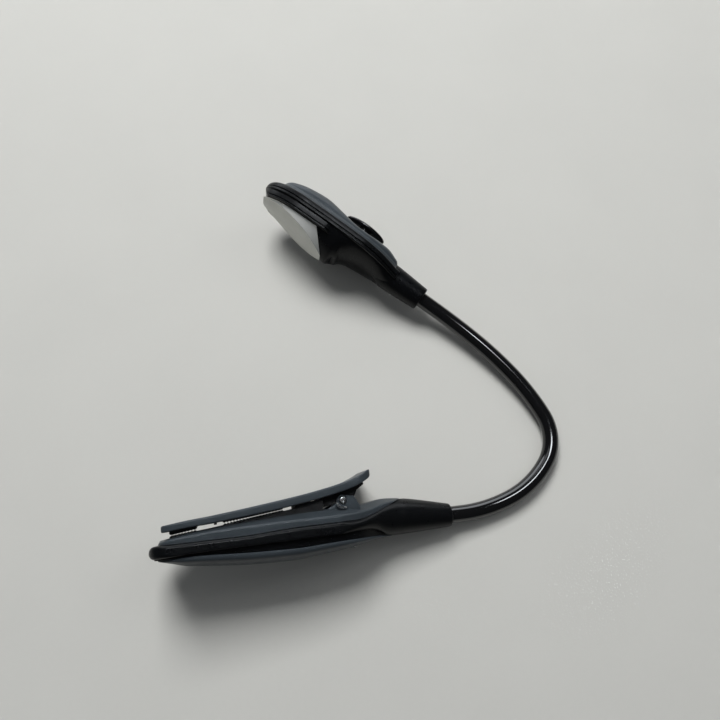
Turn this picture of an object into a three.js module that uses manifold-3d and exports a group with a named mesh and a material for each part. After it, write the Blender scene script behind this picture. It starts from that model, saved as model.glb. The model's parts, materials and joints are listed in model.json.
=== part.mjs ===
// A clip-on book light as it lies on a table: a clip with coin cells, a bendable neck and a lamp head.
// Millimetres, +Z up. Seen from above, the clip runs along +X from its nose to the neck.
// The origin is under the middle of the whole, on the table.
import * as THREE from "three";
import { mergeVertices } from "three/addons/utils/BufferGeometryUtils.js";
import Module from "manifold-3d";

const wasm = await Module();
wasm.setup();

// Clearances and cuts
const fitGap = 0.25; // between two pieces that seat on each other
const runGap = 0.3; // between two pieces that slide or turn on each other
const cutOver = 2; // how far a cut runs past the surface that it opens
const degree = Math.PI / 180;

// Clip body, in its own frame: x from the nose, y = 0 and z = 0 on the neck's axis, jaw towards +y
const baseLength = 95.6;
const baseWidth = 25;
const rimUnder = 1.5; // bumper rim under the neck's axis, along most of the clip
const rimOver = 1.55; // and over it
const rimEdge = 1.1; // rounding of the rim's long edges
const noseRadius = 6; // plan corners of the nose
const noseAngles = [15, 40, 65, 90]; // degrees round the nose's front edge
const straightStartShare = 0.3; // from here on the rim is drawn straight, share of the length
const straightEndShare = 0.6; // the sides run straight as far as this share of the length
const sideShares = [0.14, 0.255, 0.37, 0.485, 0.6]; // stations of the plate and the groove, shares of the length
const collarStartShare = 0.828; // where the plate ends and the whole collar shows
const collarShoulderHalf = 6.2;
const collarKeel = 4;
const collarCrest = 7.6;
const collarEndDiameter = 7.4;
const collarChamfer = 0.5;
const bodyLowShares = [[0, 0.58], [0.045, 0.53], [0.14, 0.4], [0.3, 0.36], [0.62, 0.32], [0.69, 0.34],
  [0.73, 0.56], [0.76, 0.84], [0.79, 0.97], [0.9, 0.92], [1, 0.825]]; // share of baseLength, share of collarKeel
const bodyHighShares = [[0.3, 0.205], [0.44, 0.29], [0.63, 0.33], [0.68, 0.46], [0.73, 0.74], [0.78, 0.97],
  [0.83, 1], [1, 0.54]]; // share of baseLength, share of collarCrest
const seamShares = [[0.31, 0.21], [0.44, 0.3], [0.63, 0.325], [0.67, 0.345], [0.717, 0.49], [0.76, 0.7],
  [0.81, 0.96], [0.828, 1]]; // share of baseLength, share of seamRise
const seamRise = 7.4; // height of the seam where the plate ends
const grooveDepth = 1.4;
const grooveEndShares = [0.64, 0.68]; // where the groove runs out
const grooveShares = [[0.03, 0.72], [0.14, 0.67], [0.3, 0.91], [0.41, 1], [0.62, 0.95], [0.73, 0.78]];
// share of baseLength, share of grooveDrop
const grooveDrop = 3.6; // how far the battery cover's edge lies under the neck's axis

// Clip plate on the rim
const plateInset = 1.8;
const plateNoseInset = 2.7;
const plateFrontRadius = 5;
const plateWall = 1.4;
const plateCrest = 6.7; // height of the plate's top over the axis near the hinge
const plateChamfer = 3.6; // width of the sloped shoulder
const plateRidge = 4.3; // height of the line where wall and shoulder meet
const plateWaistShare = 0.64; // closer stations from here on
const plateCrestShares = [[0.03, 0.43], [0.06, 0.5], [0.15, 0.7], [0.31, 0.87], [0.47, 0.98], [0.57, 1],
  [0.68, 1.04], [0.755, 1.2], [0.81, 1.16], [0.828, 1.12]]; // share of baseLength, share of plateCrest
const plateRidgeShares = [[0.03, 0.53], [0.09, 0.75], [0.22, 0.95], [0.4, 1.02], [0.63, 1.01],
  [0.7, 1.15], [0.76, 1.5], [0.828, 1.65]]; // share of baseLength, share of plateRidge

// Battery compartment
const cellDiameter = 20;
const cellThickness = 1.6;
const cellSpacing = 1.2;
const cellClearance = 0.4; // round each cell
const cellPocketWall = 4.6; // from the nose to the first pocket
const contactThickness = 0.25;
const contactWidth = 5;
const pocketRoof = 1.1; // wall over the cells
const coverInset = 1.2;
const coverDepth = 3.9; // how far the battery cover's dome stands out at its deepest
const coverDepthShares = [[0, 0.12], [0.05, 0.4], [0.12, 0.78], [0.3, 0.97], [0.45, 1], [0.6, 0.95], [0.78, 0.75],
  [0.9, 0.42], [1, 0.1]]; // share of the cover's length, share of coverDepth
const coverHalfShares = [[0, 0.72], [0.04, 0.9], [0.1, 0.98], [0.2, 1], [0.72, 1], [0.85, 0.9], [0.94, 0.66],
  [1, 0.32]]; // share of the cover's length, share of the half width beside it
const coverPower = 2.3; // roundness of the dome's arches
const coverSteps = 12;
const coverPlaceShares = [0, 0.02, 0.05, 0.1, 0.18, 0.3, 0.45, 0.6, 0.72, 0.8, 0.86, 0.92, 0.97, 1];
// stations, shares of the cover's length
const coverFloor = 0.8; // depth of the cover's own pocket under the cells
const coverEndShare = 0.785;
const coverScrewShare = 0.397; // the battery cover's screw, between the rear plate screw and the cover's end
const coverScrewDiameter = 4;
const screwShank = 1.8;
const screwLength = 4;
const screwHeadHeight = 1.1;
const slotWidth = 0.5;
const plateScrewHead = 3;
const plateScrewOut = 9; // the two front plate screws, beside the gap between the cells
const plateScrewBehind = 5.5; // the rear plate screw, behind the rear cell's pocket

// Hinge
const pinShare = 0.617; // share of baseLength
const pinHeight = 8.85;
const pinDiameter = 2;
const pinOverhang = 0.7; // beyond the ears
const earInner = 5.8;
const earThickness = 2.2;
const earRound = 1.7;
const earArc = [70, 190]; // degrees of that round, counted from the rear
const earFootFront = 4.7;
const earFootRear = 5.3;
const earRearShares = [[0.85, 0], [0.64, 0.22], [0.4, 0.255]]; // rear edge over the pin, in shares of earFootRear
const lugThickness = 1.9;
const lugRound = 2;
const lugArc = [200, 350]; // degrees of that round, counted from the rear
const lugFront = 5.8; // how far the lugs run forward from the pin
const lugDrop = 1.5; // how far their front corner lies under the pin
const lugReach = 7.6; // how far they run back
const lugRearShares = [[0.57, 0.14], [0.68, 0.37], [1, 0.57], [0.99, 0.67]];
// rear edge of the lugs over the pin, in shares of lugReach
const springWire = 0.8;
const springRadius = 2.2; // to the middle of the wire
const springPitch = 1.3;
const springTurns = 3.5;
const springLeg = 5.2; // length of the leg under the lever
const springHook = 3.4; // length of the hook outside the ear
const springHookDrop = 2.2; // how far the hooked leg passes under the pin
const springBendShare = 0.6; // share of the wire in each corner

// Lever
const leverFront = 3.9;
const leverTail = 9.4; // how far the lever reaches back past the pin
const leverWidth = 20.4;
const leverFrontRadius = 4;
const leverTipHeight = 7.1; // top of the lever over the axis at its tip
const leverOverPin = 5.7; // top of the lever over the middle of the pin
const leverTailLift = 2; // how much the tail curls up
const leverSag = 1; // how far the lever dips under the straight line between its tip and the pin
const leverSagShares = [[0, 0], [0.12, 0.15], [0.22, 0.5], [0.42, 0.85], [0.65, 1], [0.78, 0.75], [0.87, 0.35], [1, 0]];
// share of the lever's length, share of leverSag
const leverTipThickness = 2;
const leverTailThickness = 2.6;
const leverTailRound = 1.2;
const leverWall = 1.2;
const leverChamfer = 0.7;

// Jaw
const jawFront = 6.2;
const jawHeelGap = 3.6; // from the last tooth to the heel
const jawWidth = 15;
const jawLineHeight = 4.15; // height of the bite line at the front tooth
const jawAngle = 6.5; // degrees
const toothPitch = 0.97;
const toothDepth = 0.36;
const jawGap = 0.16; // between the crests of the two rows
const jawWindowFront = 14.3; // openings in the lever's row, from the nose
const jawWindowRear = 19.3;
const jawPost = 0.9;
const jawNotchRear = 22.1;
const jawWindowHeight = 1.1;
const jawNotchHeight = 0.65; // gap between the rows behind the last teeth
const heelAhead = 14.6; // how far ahead of the pin the heel of the lower strip starts, which fills the throat
const heelLength = 8.4;
const heelHeight = 3.2; // over the plate
const heelShares = [[0, 0.84], [0.86, 1], [0.95, 0.94]]; // share of heelLength, share of heelHeight
const heelDrop = 9; // height over the axis where the rounded rear of the heel ends
const heelFootShare = 0.98; // share of heelLength at the plate
const jawSeat = 0.7; // how deep the lower row sits in the plate

// Neck: a fixed stub, six links and a fixed tip, each one arc
const neckDiameter = 5.4;
const neckBore = 4.1;
const neckHeight = 0.4; // its axis over the clip's at the collar
const neckStub = 4;
const neckTip = 6;
const neckLink = 18;
const neckTurns = [0, 20.6, 30.5, 59.9, 12.3, 6.9, 7.7, 0]; // degrees that each arc turns sideways
const neckRises = [0, 6.8, -7.9, -5.9, -2.4, -1.7, 5.8, 0]; // degrees that each arc bends upwards
const neckInset = 17; // length of sheath held inside each collar
const neckStep = 9; // degrees of bend between two stations
const wireReachShare = 0.6; // share of the neck's radius that spine and leads run past each bend
const spineDiameter = 2.2;
const spineOffset = 0.5;
const leadDiameter = 0.7;
const leadOffset = 1.25;
const ferruleWall = 0.45;
const ferruleLength = 5;

// How it lies on the table
const clipPitch = 10.1; // degrees that the clip's nose is up
const clipRoll = 8.3; // degrees that its jaw side is up
const headRoll = -8.5; // degrees that the head is turned on the neck

// Lamp head: x from its tip, y = 0 and z = 0 on the neck's axis, +y the back with the button
const headLength = 70.1;
const headWidth = 24;
const headRimBack = 1.9;
const headRimFront = 1.6;
const headTipLength = 17; // length of the rounded end
const headTipPower = 2.05;
const headTipShares = [0.02, 0.12, 0.3, 0.6, 1]; // stations, shares of headTipLength
const headTipBlunt = 0.25; // share of the rim's thickness at the very tip
const headTipSwell = 1.2; // how fast the rim thickens behind it
const headStraightShare = 0.4; // evenly spaced stations from here on
const headCollarDiameter = 8.6;
const headPlanShares = [[0.24, 0.97], [0.4, 1], [0.6, 0.98], [0.66, 0.92], [0.714, 0.83], [0.77, 0.66],
  [0.82, 0.5]];
// share of headLength, share of half the headWidth
const headRimEnd = 0.82;
const holderDepth = 2.7; // the black body that holds the lens, in front of the rim
const holderInset = 1.7;
const holderTipShares = [0.16, 0.3, 0.5, 0.8]; // stations, shares of headTipLength
const holderStraightShare = 0.3;
const holderEndShare = 0.5;
const hoodPeak = 10.4; // front of the black hood behind the lens
const hoodPeakShares = [[0.33, 0.74], [0.47, 1], [0.5, 0.9], [0.53, 0.68], [0.56, 0.5], [0.6, 0.37], [0.65, 0.26],
  [0.7, 0.16]]; // share of headLength, share of hoodPeak
const hoodPower = 2.2; // roundness of the hood's arches
const hoodSteps = 16;
const hoodHalf = 10;
const hoodHalfShares = [[0.33, 1], [0.47, 0.84], [0.53, 0.74], [0.6, 0.68], [0.7, 0.58]];
// share of headLength, share of hoodHalf
const collarRootHalf = 5.2;
const collarRootShare = 0.79;
const collarRootLength = 9; // how far the collar sinks into the head
const collarRootShares = [[1, 0.5], [0.75, 0.68], [0.5, 0.82], [0.25, 0.94]];
// share of collarRootLength, share of collarRootHalf

// Lens
const lensInset = 0.8; // from the holder's edge
const lensWall = 1.1;
const lensDepthShares = [[0.03, 0.04], [0.14, 0.16], [0.26, 0.43], [0.36, 0.68], [0.47, 1]];
// share of headLength, share of lensDepth
const lensDepth = 6.1;
const lensFaceHalf = 8.4;
const lensFaceShares = [[0.03, 0.32], [0.06, 0.58], [0.14, 0.87], [0.25, 1], [0.36, 0.8], [0.43, 0.4],
  [0.47, 0.06]];
// share of headLength, share of lensFaceHalf
const lensStations = [0.03, 0.045, 0.07, 0.14, 0.2, 0.26, 0.32, 0.38, 0.43, 0.465]; // share of headLength
const lensTipShare = 0.1; // the wall's thickness is taken off the front as far as here
const lensSeatTopShare = 0.36; // where the hood starts at the holder
const lensSeatTipShare = 0.458; // where the hood starts at its peak

// Lamp electronics
const boardThickness = 1;
const boardWidth = 8;
const boardFrontShare = 0.115;
const boardRearShare = 0.66;
const framePocketWidth = 14.6;
const framePocketFloor = 1.5; // depth of the frame's pocket in front of the axis
const ledDiameter = 3;
const ledHeight = 3.4;
const ledFlange = 0.8;
const ledShares = [0.2, 0.31]; // share of headLength
const wellWidth = 13.6;
const wellFrontShare = 0.1;
const wellRearShare = 0.355;
const resistorLength = 3.2;
const resistorWidth = 1.6;
const resistorHeight = 0.6;
const resistorShare = 0.625;
const switchSize = 6;
const switchHeight = 3.4;
const plungerDiameter = 3;
const plungerHeight = 0.9;
const boardScrewShare = 0.42;
const boardScrewHead = 3;
const boardScrewLength = 3;

// Back cover and button
const coverCrown = 7.5; // height of the back cover's dome over the rim
const coverSideInset = 1.6;
const coverWall = 1.3;
const crownPower = 2.4; // roundness of the dome's arches
const crownSteps = 14;
const coverCrownShares = [[0.06, 0.3], [0.09, 0.5], [0.14, 0.72], [0.2, 0.88], [0.31, 1], [0.42, 0.82],
  [0.5, 0.64], [0.58, 0.6], [0.66, 0.68], [0.72, 0.7], [0.77, 0.56], [0.8, 0.46]];
// share of headLength, share of coverCrown
const coverStations = [0.06, 0.068, 0.08, 0.1, 0.14, 0.2, 0.3, 0.4, 0.48, 0.56, 0.64, 0.7, 0.76, 0.8];
// share of headLength
const buttonShare = 0.547;
const buttonLength = 16.5;
const buttonWidth = 10.2;
const buttonDome = 1.4;
const buttonBelly = 0.9;
const buttonLevels = [[-1, 0.55], [-0.72, 0.82], [-0.3, 0.97], [0, 1], [0.35, 0.93], [0.7, 0.7], [0.93, 0.36]];
// share of the belly under the rim or of the dome over it, share of half the length and width
const buttonLift = 3.2; // between the button's rim and the saddle
const buttonStem = 4.6;
const buttonTravel = 0.7;
const pressGap = 0.05; // left between the stem and the switch when the button is down

// Resolution of round shapes
const roundSides = 24;
const smallSides = 16;
const sheathSides = 12;
const boreSides = 8;
const wireSides = 6;
const springSides = 5;
const cornerSteps = 4;

// Finishes
const black = new THREE.MeshStandardMaterial({ color: 0x101214, roughness: 0.42 });
const slate = new THREE.MeshStandardMaterial({ color: 0x474f57, roughness: 0.5 });
const gloss = new THREE.MeshStandardMaterial({ color: 0x08090a, roughness: 0.14 });
const rubber = new THREE.MeshStandardMaterial({ color: 0x0c0d0e, roughness: 0.8 });
const milky = new THREE.MeshStandardMaterial({ color: 0xc4c8bf, roughness: 0.25, transparent: true, opacity: 0.8 });
const white = new THREE.MeshStandardMaterial({ color: 0xe6e6e0, roughness: 0.35 });
const steel = new THREE.MeshStandardMaterial({ color: 0xb4b6b8, roughness: 0.3, metalness: 1 });
const brass = new THREE.MeshStandardMaterial({ color: 0xb08d4a, roughness: 0.35, metalness: 1 });
const board = new THREE.MeshStandardMaterial({ color: 0x1c5a38, roughness: 0.5 });
const amber = new THREE.MeshStandardMaterial({ color: 0xd9c26a, roughness: 0.2 });
const cellSkin = new THREE.MeshStandardMaterial({ color: 0xc9cbcd, roughness: 0.3, metalness: 1 });
const copper = new THREE.MeshStandardMaterial({ color: 0x8a2f22, roughness: 0.5 });

// A smooth function through points [x, value] with rising x, level beyond both ends
function through(points) {
  const slope = (i) => {
    const a = points[Math.max(i - 1, 0)], b = points[Math.min(i + 1, points.length - 1)];
    return (b[1] - a[1]) / (b[0] - a[0]);
  };
  return (x) => {
    if (x <= points[0][0]) return points[0][1];
    const i = points.findIndex((p) => p[0] >= x);
    if (i < 0) return points[points.length - 1][1];
    const [x0, y0] = points[i - 1], [x1, y1] = points[i];
    const w = x1 - x0, t = (x - x0) / w;
    return (2 * t ** 3 - 3 * t ** 2 + 1) * y0 + (t ** 3 - 2 * t ** 2 + t) * w * slope(i - 1)
      + (3 * t ** 2 - 2 * t ** 3) * y1 + (t ** 3 - t ** 2) * w * slope(i);
  };
}

// The same, for a table of shares of a length and of a height
const profile = (shares, length, height) => through(shares.map(([a, b]) => [a * length, b * height]));

// A closed geometry as a solid, its shared corners merged and its faces turned outwards
function solid(geometry) {
  const bare = geometry.index ? geometry.toNonIndexed() : geometry.clone();
  bare.deleteAttribute("normal");
  bare.deleteAttribute("uv");
  const merged = mergeVertices(bare, 1e-4);
  const place = merged.attributes.position.array;
  let faces = [];
  for (let i = 0; i < merged.index.count; i += 3) {
    const [a, b, c] = merged.index.array.slice(i, i + 3);
    if (a !== b && b !== c && a !== c) faces.push([a, b, c]);
  }
  const at = (i) => new THREE.Vector3().fromArray(place, 3 * i);
  const volume = faces.reduce((sum, [a, b, c]) => sum + at(a).dot(at(b).cross(at(c))), 0);
  if (volume < 0) faces = faces.map(([a, b, c]) => [a, c, b]);
  return new wasm.Manifold(new wasm.Mesh({
    numProp: 3,
    vertProperties: Float32Array.from(place),
    triVerts: Uint32Array.from(faces.flat()),
  }));
}

// Rings of equally many points joined into one skin, with a flat cap on the first and the last
function skin(rings) {
  const count = rings[0].length, points = rings.flat(), index = [];
  const middle = (ring) => ring.reduce((sum, p) => sum.add(p), new THREE.Vector3()).divideScalar(ring.length);
  for (let r = 0; r + 1 < rings.length; r++)
    for (let i = 0; i < count; i++) {
      const a = r * count + i, b = r * count + (i + 1) % count;
      index.push(a, b, a + count, b, b + count, a + count);
    }
  points.push(middle(rings[0]), middle(rings[rings.length - 1]));
  for (let i = 0; i < count; i++) {
    const next = (i + 1) % count, last = (rings.length - 1) * count;
    index.push(points.length - 2, next, i, points.length - 1, last + i, last + next);
  }
  const geometry = new THREE.BufferGeometry().setFromPoints(points);
  return solid(geometry.setIndex(index));
}

// A ring across X: a rectangle from low to high and out to half on both sides, with elliptic corners
function roundedRing(x, half, low, high, cornerY, cornerZ) {
  const ring = [];
  for (let corner = 0; corner < 4; corner++)
    for (let step = 0; step <= cornerSteps; step++) {
      const angle = (corner + step / cornerSteps) * 90 * degree;
      const middleY = corner === 0 || corner === 3 ? high - cornerY : low + cornerY;
      const middleZ = corner < 2 ? half - cornerZ : cornerZ - half;
      ring.push(new THREE.Vector3(x, middleY + cornerY * Math.cos(angle), middleZ + cornerZ * Math.sin(angle)));
    }
  return ring;
}

// A ring across X: flat at y = level, with an arch of the given height and half width on one side
function archRing(x, half, level, height, power, steps) {
  const ring = [];
  for (let i = 0; i <= steps; i++) {
    const angle = i / steps * 180 * degree;
    const c = Math.cos(angle), s = Math.sin(angle);
    const rise = Math.pow(Math.abs(s), 2 / power), run = Math.sign(c) * Math.pow(Math.abs(c), 2 / power);
    ring.push(new THREE.Vector3(x, level + height * rise, half * run));
  }
  return ring;
}

// Evenly spaced values
const spread = (from, to, steps) => Array.from({ length: steps + 1 }, (_, i) => from + (to - from) * i / steps);

// A flat outline in X and Y, extruded between two heights z
function slab(points, from, to) {
  const outline = new THREE.Shape(points.map(([x, y]) => new THREE.Vector2(x, y)));
  const geometry = new THREE.ExtrudeGeometry(outline, { depth: to - from, bevelEnabled: false, curveSegments: 1 });
  return solid(geometry.translate(0, 0, from));
}

// A box between two corners
function block(x0, x1, y0, y1, z0, z1) {
  const geometry = new THREE.BoxGeometry(x1 - x0, y1 - y0, z1 - z0);
  return solid(geometry.translate((x0 + x1) / 2, (y0 + y1) / 2, (z0 + z1) / 2));
}

// Round bars along Y, Z and X
const barY = (x, z, radius, y0, y1, sides = roundSides) =>
  solid(new THREE.CylinderGeometry(radius, radius, y1 - y0, sides).translate(x, (y0 + y1) / 2, z));
const barZ = (x, y, radius, z0, z1, sides = roundSides) =>
  solid(new THREE.CylinderGeometry(radius, radius, z1 - z0, sides).rotateX(90 * degree)
    .translate(x, y, (z0 + z1) / 2));
const barX = (y, z, radius, x0, x1, sides = roundSides) =>
  solid(new THREE.CylinderGeometry(radius, radius, x1 - x0, sides).rotateZ(90 * degree)
    .translate((x0 + x1) / 2, y, z));
const ball = (x, y, z, radius) =>
  solid(new THREE.SphereGeometry(radius, smallSides, smallSides / 2).translate(x, y, z));

const joined = (...parts) => parts.reduce((a, b) => a.add(b));
const mirrored = (make) => joined(make(1), make(-1));

// The shape of a solid as a named mesh
function piece(name, shape, material) {
  const data = shape.getMesh();
  const places = new Float32Array(data.numVert * 3);
  for (let i = 0; i < data.numVert; i++)
    places.set(data.vertProperties.subarray(i * data.numProp, i * data.numProp + 3), i * 3);
  const geometry = new THREE.BufferGeometry();
  geometry.setAttribute("position", new THREE.BufferAttribute(places, 3));
  geometry.setIndex(new THREE.BufferAttribute(data.triVerts, 1));
  const mesh = new THREE.Mesh(geometry, material);
  mesh.name = name;
  return mesh;
}

// Derived places on the clip
const baseHalf = baseWidth / 2;
const straightEnd = straightEndShare * baseLength;
const collarStart = collarStartShare * baseLength;
const collarEndRadius = collarEndDiameter / 2;
const pinX = pinShare * baseLength;
const pinRadius = pinDiameter / 2;
const leverRear = pinX + leverTail;
const heelFront = pinX - heelAhead;
const jawRear = heelFront - jawHeelGap;
const plateTop = profile(plateCrestShares, baseLength, plateCrest);
const plateLine = profile(plateRidgeShares, baseLength, plateRidge);
const seamAt = profile(seamShares, baseLength, seamRise);
const bodyLow = profile(bodyLowShares, baseLength, -collarKeel);
const bodyHigh = profile(bodyHighShares, baseLength, collarCrest);
const grooveLow = profile(grooveShares, baseLength, -grooveDrop);
const rimTop = seamAt(0);

// Half width of the rim in plan: round nose corners, straight sides, then a waist down to the collar
function rimHalf(x) {
  if (x < noseRadius) return baseHalf - noseRadius + Math.sqrt(noseRadius ** 2 - (noseRadius - x) ** 2);
  if (x < straightEnd) return baseHalf;
  const t = Math.min((x - straightEnd) / (collarStart - straightEnd), 1);
  if (t < 1) return baseHalf - (baseHalf - collarShoulderHalf) * (1 - Math.cos(t * 180 * degree)) / 2;
  const share = (x - collarStart) / (baseLength - collarStart);
  return collarShoulderHalf + (collarEndRadius - collarShoulderHalf) * share;
}

// The rim, which behind the plate closes to a collar round the neck
function bodyRing(x, rise) {
  const middle = (bodyHigh(x) + bodyLow(x)) / 2, tall = (bodyHigh(x) - bodyLow(x)) / 2;
  const blend = Math.min(Math.max((x - straightEnd) / (collarStart - straightEnd), 0), 1);
  const cornerY = Math.min(rimEdge + blend * (tall - rimEdge), tall * rise);
  const cornerZ = Math.min(rimEdge + blend * (rimHalf(x) - rimEdge), rimHalf(x));
  return roundedRing(x, rimHalf(x), middle - tall * rise, middle + tall * rise, cornerY,
    blend ? cornerZ : Math.min(rimEdge, tall * rise));
}

function rimBody() {
  const nose = rimOver, rings = [];
  for (const angle of noseAngles)
    rings.push(bodyRing(nose * (1 - Math.cos(angle * degree)), Math.sin(angle * degree)));
  const stations = [...spread(noseRadius / 2, noseRadius, 2),
    ...spread(straightStartShare * baseLength, straightEnd, 3), ...spread(straightEnd, collarStart, 8).slice(1),
    ...spread(collarStart, baseLength - collarChamfer, 2).slice(1)];
  for (const x of stations) rings.push(bodyRing(x, 1));
  const small = collarEndRadius - collarChamfer;
  rings.push(roundedRing(baseLength, small, neckHeight - small, neckHeight + small, small, small));
  return skin(rings);
}

// The narrower band between the rim and the battery cover
function grooveBand() {
  const stations = [grooveDepth, ...spread(noseRadius / 2, noseRadius, 2),
    ...[...sideShares, ...grooveEndShares].map((share) => share * baseLength)];
  return skin(stations.map((x) =>
    roundedRing(x, rimHalf(x) - grooveDepth, grooveLow(x) + fitGap, bodyLow(x) + fitGap, fitGap / 2, fitGap)));
}

// Everything above the seam between plate and housing, moved up by lift
function aboveSeam(lift, from) {
  const high = pinHeight + collarCrest;
  const line = spread(seamShares[0][0] * baseLength, collarStart, 12).map((x) => [x, seamAt(x) + lift]);
  return slab([[from, rimTop + lift], ...line, [collarStart, high], [from, high]], -baseWidth, baseWidth);
}

const cellRadius = cellDiameter / 2;
const pocketRadius = cellRadius + cellClearance;
const cellPlaces = [0, 1].map((i) => cellPocketWall + pocketRadius + i * (cellDiameter + cellSpacing));
const pocketTop = rimTop - pocketRoof;
const cellTop = pocketTop - contactThickness - 2 * fitGap;
const cellLow = cellTop - cellThickness;
const neckBoreRadius = neckDiameter / 2 + fitGap;
const ferruleRadius = neckDiameter / 2 + fitGap + ferruleWall;
const wireRoom = 1.1; // radius of the channel that the leads leave the collar by
const plateScrewX = (cellPlaces[0] + cellPlaces[1]) / 2;
const plateScrewPlaces = [[plateScrewX, plateScrewOut], [plateScrewX, -plateScrewOut],
  [cellPlaces[1] + pocketRadius + plateScrewBehind, 0]];
const coverStart = grooveDepth + coverInset;
const coverEnd = coverEndShare * baseLength;
const coverScrewX = plateScrewPlaces[2][0] + coverScrewShare * (coverEnd - plateScrewPlaces[2][0]);
const coverLevel = grooveLow(coverScrewX);

// The two round pockets for the cells, joined by a channel for the contacts
function cellRoom(low, high) {
  const rounds = cellPlaces.map((x) => barY(x, 0, pocketRadius, low, high));
  return joined(...rounds, block(cellPlaces[0], cellPlaces[1], low, high, -contactWidth, contactWidth));
}

function baseHousing() {
  const ferruleEnd = baseLength - neckInset + ferruleLength;
  let shape = rimBody().add(grooveBand()).subtract(aboveSeam(0, -cutOver))
    .subtract(cellRoom(-grooveDrop - cutOver, pocketTop))
    .subtract(barX(neckHeight, 0, neckBoreRadius, collarStart, baseLength + cutOver))
    .subtract(barX(neckHeight, 0, ferruleRadius + fitGap, baseLength - neckInset - fitGap, ferruleEnd + fitGap))
    .subtract(barX(neckHeight, 0, wireRoom, straightEnd + cutOver, baseLength - neckInset))
    .subtract(block(straightEnd, straightEnd + 2 * wireRoom, -wireRoom / 2, rimTop + cutOver, -wireRoom, wireRoom))
    .subtract(barY(coverScrewX, 0, screwShank / 2 + fitGap, -grooveDrop - cutOver, 0));
  for (const [x, z] of plateScrewPlaces) shape = shape.subtract(plateScrewHole(x, z));
  return shape;
}

// A stepped hole for one of the screws that come up from the battery side into the plate
const plateScrewSeat = -rimUnder + fitGap;
const plateScrewHole = (x, z) =>
  joined(barY(x, z, screwShank / 2 + fitGap, -grooveDrop, rimTop + cutOver, smallSides),
    barY(x, z, plateScrewHead / 2 + fitGap, -grooveDrop - cutOver, plateScrewSeat + fitGap, smallSides));

function plateScrew([x, z]) {
  const seat = plateScrewSeat;
  const head = barY(x, z, plateScrewHead / 2, seat - screwHeadHeight, seat, smallSides);
  const shank = barY(x, z, screwShank / 2, seat - fitGap, seat + screwLength, smallSides);
  const slot = block(x - plateScrewHead, x + plateScrewHead, seat - screwHeadHeight - cutOver,
    seat - screwHeadHeight / 2, z - slotWidth / 2, z + slotWidth / 2);
  return joined(head, shank).subtract(slot);
}

// The clip plate's outer form, or the room inside it when shrunk by a wall
function plateBody(shrink) {
  const start = plateNoseInset + shrink;
  const stations = [...spread(start, start + plateFrontRadius, 3), ...sideShares.map((share) => share * baseLength),
    ...spread(plateWaistShare * baseLength, collarStart, 7)];
  const rings = stations.map((x) => {
    const ahead = Math.max(start + plateFrontRadius - x, 0);
    const corner = plateFrontRadius - Math.sqrt(plateFrontRadius ** 2 - ahead ** 2);
    const half = rimHalf(Math.max(x, noseRadius)) - plateInset - corner - shrink;
    const top = plateTop(x) - shrink, ridge = Math.min(plateLine(x), top - fitGap / 2);
    const flat = Math.max(half - plateChamfer, half / 3), low = rimTop + fitGap - (shrink ? cutOver : 0);
    const line = ridge - shrink / 2;
    return [[low, half], [line, half], [top, flat], [top, -flat], [line, -half], [low, -half]]
      .map(([y, z]) => new THREE.Vector3(x, y, z));
  });
  return skin(rings);
}

const earOuter = earInner + earThickness;
const pinHalf = earOuter + pinOverhang;
const hookHeight = pinHeight - springHookDrop;
const hookX = pinX + springWire;
const hookZ = earOuter + fitGap + springWire;

// One ear of the plate, round over the pin; its foot reaches down inside the plate as a rib
function ear(side) {
  const foot = rimTop + fitGap, shoulder = plateTop(pinX);
  const edge = earRearShares.map(([a, b]) => [pinX + a * earFootRear, pinHeight + b * earFootRear]);
  const arc = spread(...earArc, 5).map((a) => [pinX + earRound * Math.cos(a * degree),
    pinHeight + earRound * Math.sin(a * degree)]);
  const outline = [[pinX + earFootRear, foot], [pinX + earFootRear, shoulder], ...edge, ...arc,
    [pinX - earFootFront, shoulder], [pinX - earFootFront, foot]];
  return slab(outline, Math.min(side * earInner, side * earOuter), Math.max(side * earInner, side * earOuter));
}

function clipPlate() {
  const room = plateBody(plateWall)
    .intersect(block(plateNoseInset + 2 * plateWall, pinX + earFootRear, rimTop - cutOver, plateCrest,
      -baseWidth, baseWidth));
  const boss = ([x, z]) => barY(x, z, plateScrewHead / 2 + fitGap, rimTop + fitGap,
    plateTop(x) - plateWall - (z ? plateWall / 2 : 0), smallSides);
  const hole = ([x, z]) => barY(x, z, screwShank / 2 + fitGap, rimTop - cutOver,
    plateScrewSeat + screwLength + fitGap, smallSides);
  const wireRoomHalf = springWire / 2 + fitGap;
  const notch = block(hookX - wireRoomHalf, hookX + wireRoomHalf, hookHeight - wireRoomHalf,
    hookHeight + wireRoomHalf, earInner - cutOver, hookZ + cutOver);
  const hookRoom = block(pinX - springHook, hookX + wireRoomHalf, hookHeight - wireRoomHalf,
    hookHeight + wireRoomHalf, earOuter, hookZ + cutOver);
  return plateBody(0).subtract(room).add(joined(...plateScrewPlaces.map(boss))).add(mirrored(ear))
    .intersect(aboveSeam(fitGap, -cutOver))
    .subtract(block(pinX - earFootFront + fitGap, pinX + earFootRear - fitGap, rimTop - cutOver, pinHeight,
      -earInner, earInner))
    .subtract(joined(...plateScrewPlaces.map(hole)))
    .subtract(notch).subtract(hookRoom).subtract(jawStrip(fitGap))
    .subtract(barZ(pinX, pinHeight, pinRadius + fitGap, -baseWidth, baseWidth, smallSides));
}

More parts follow.
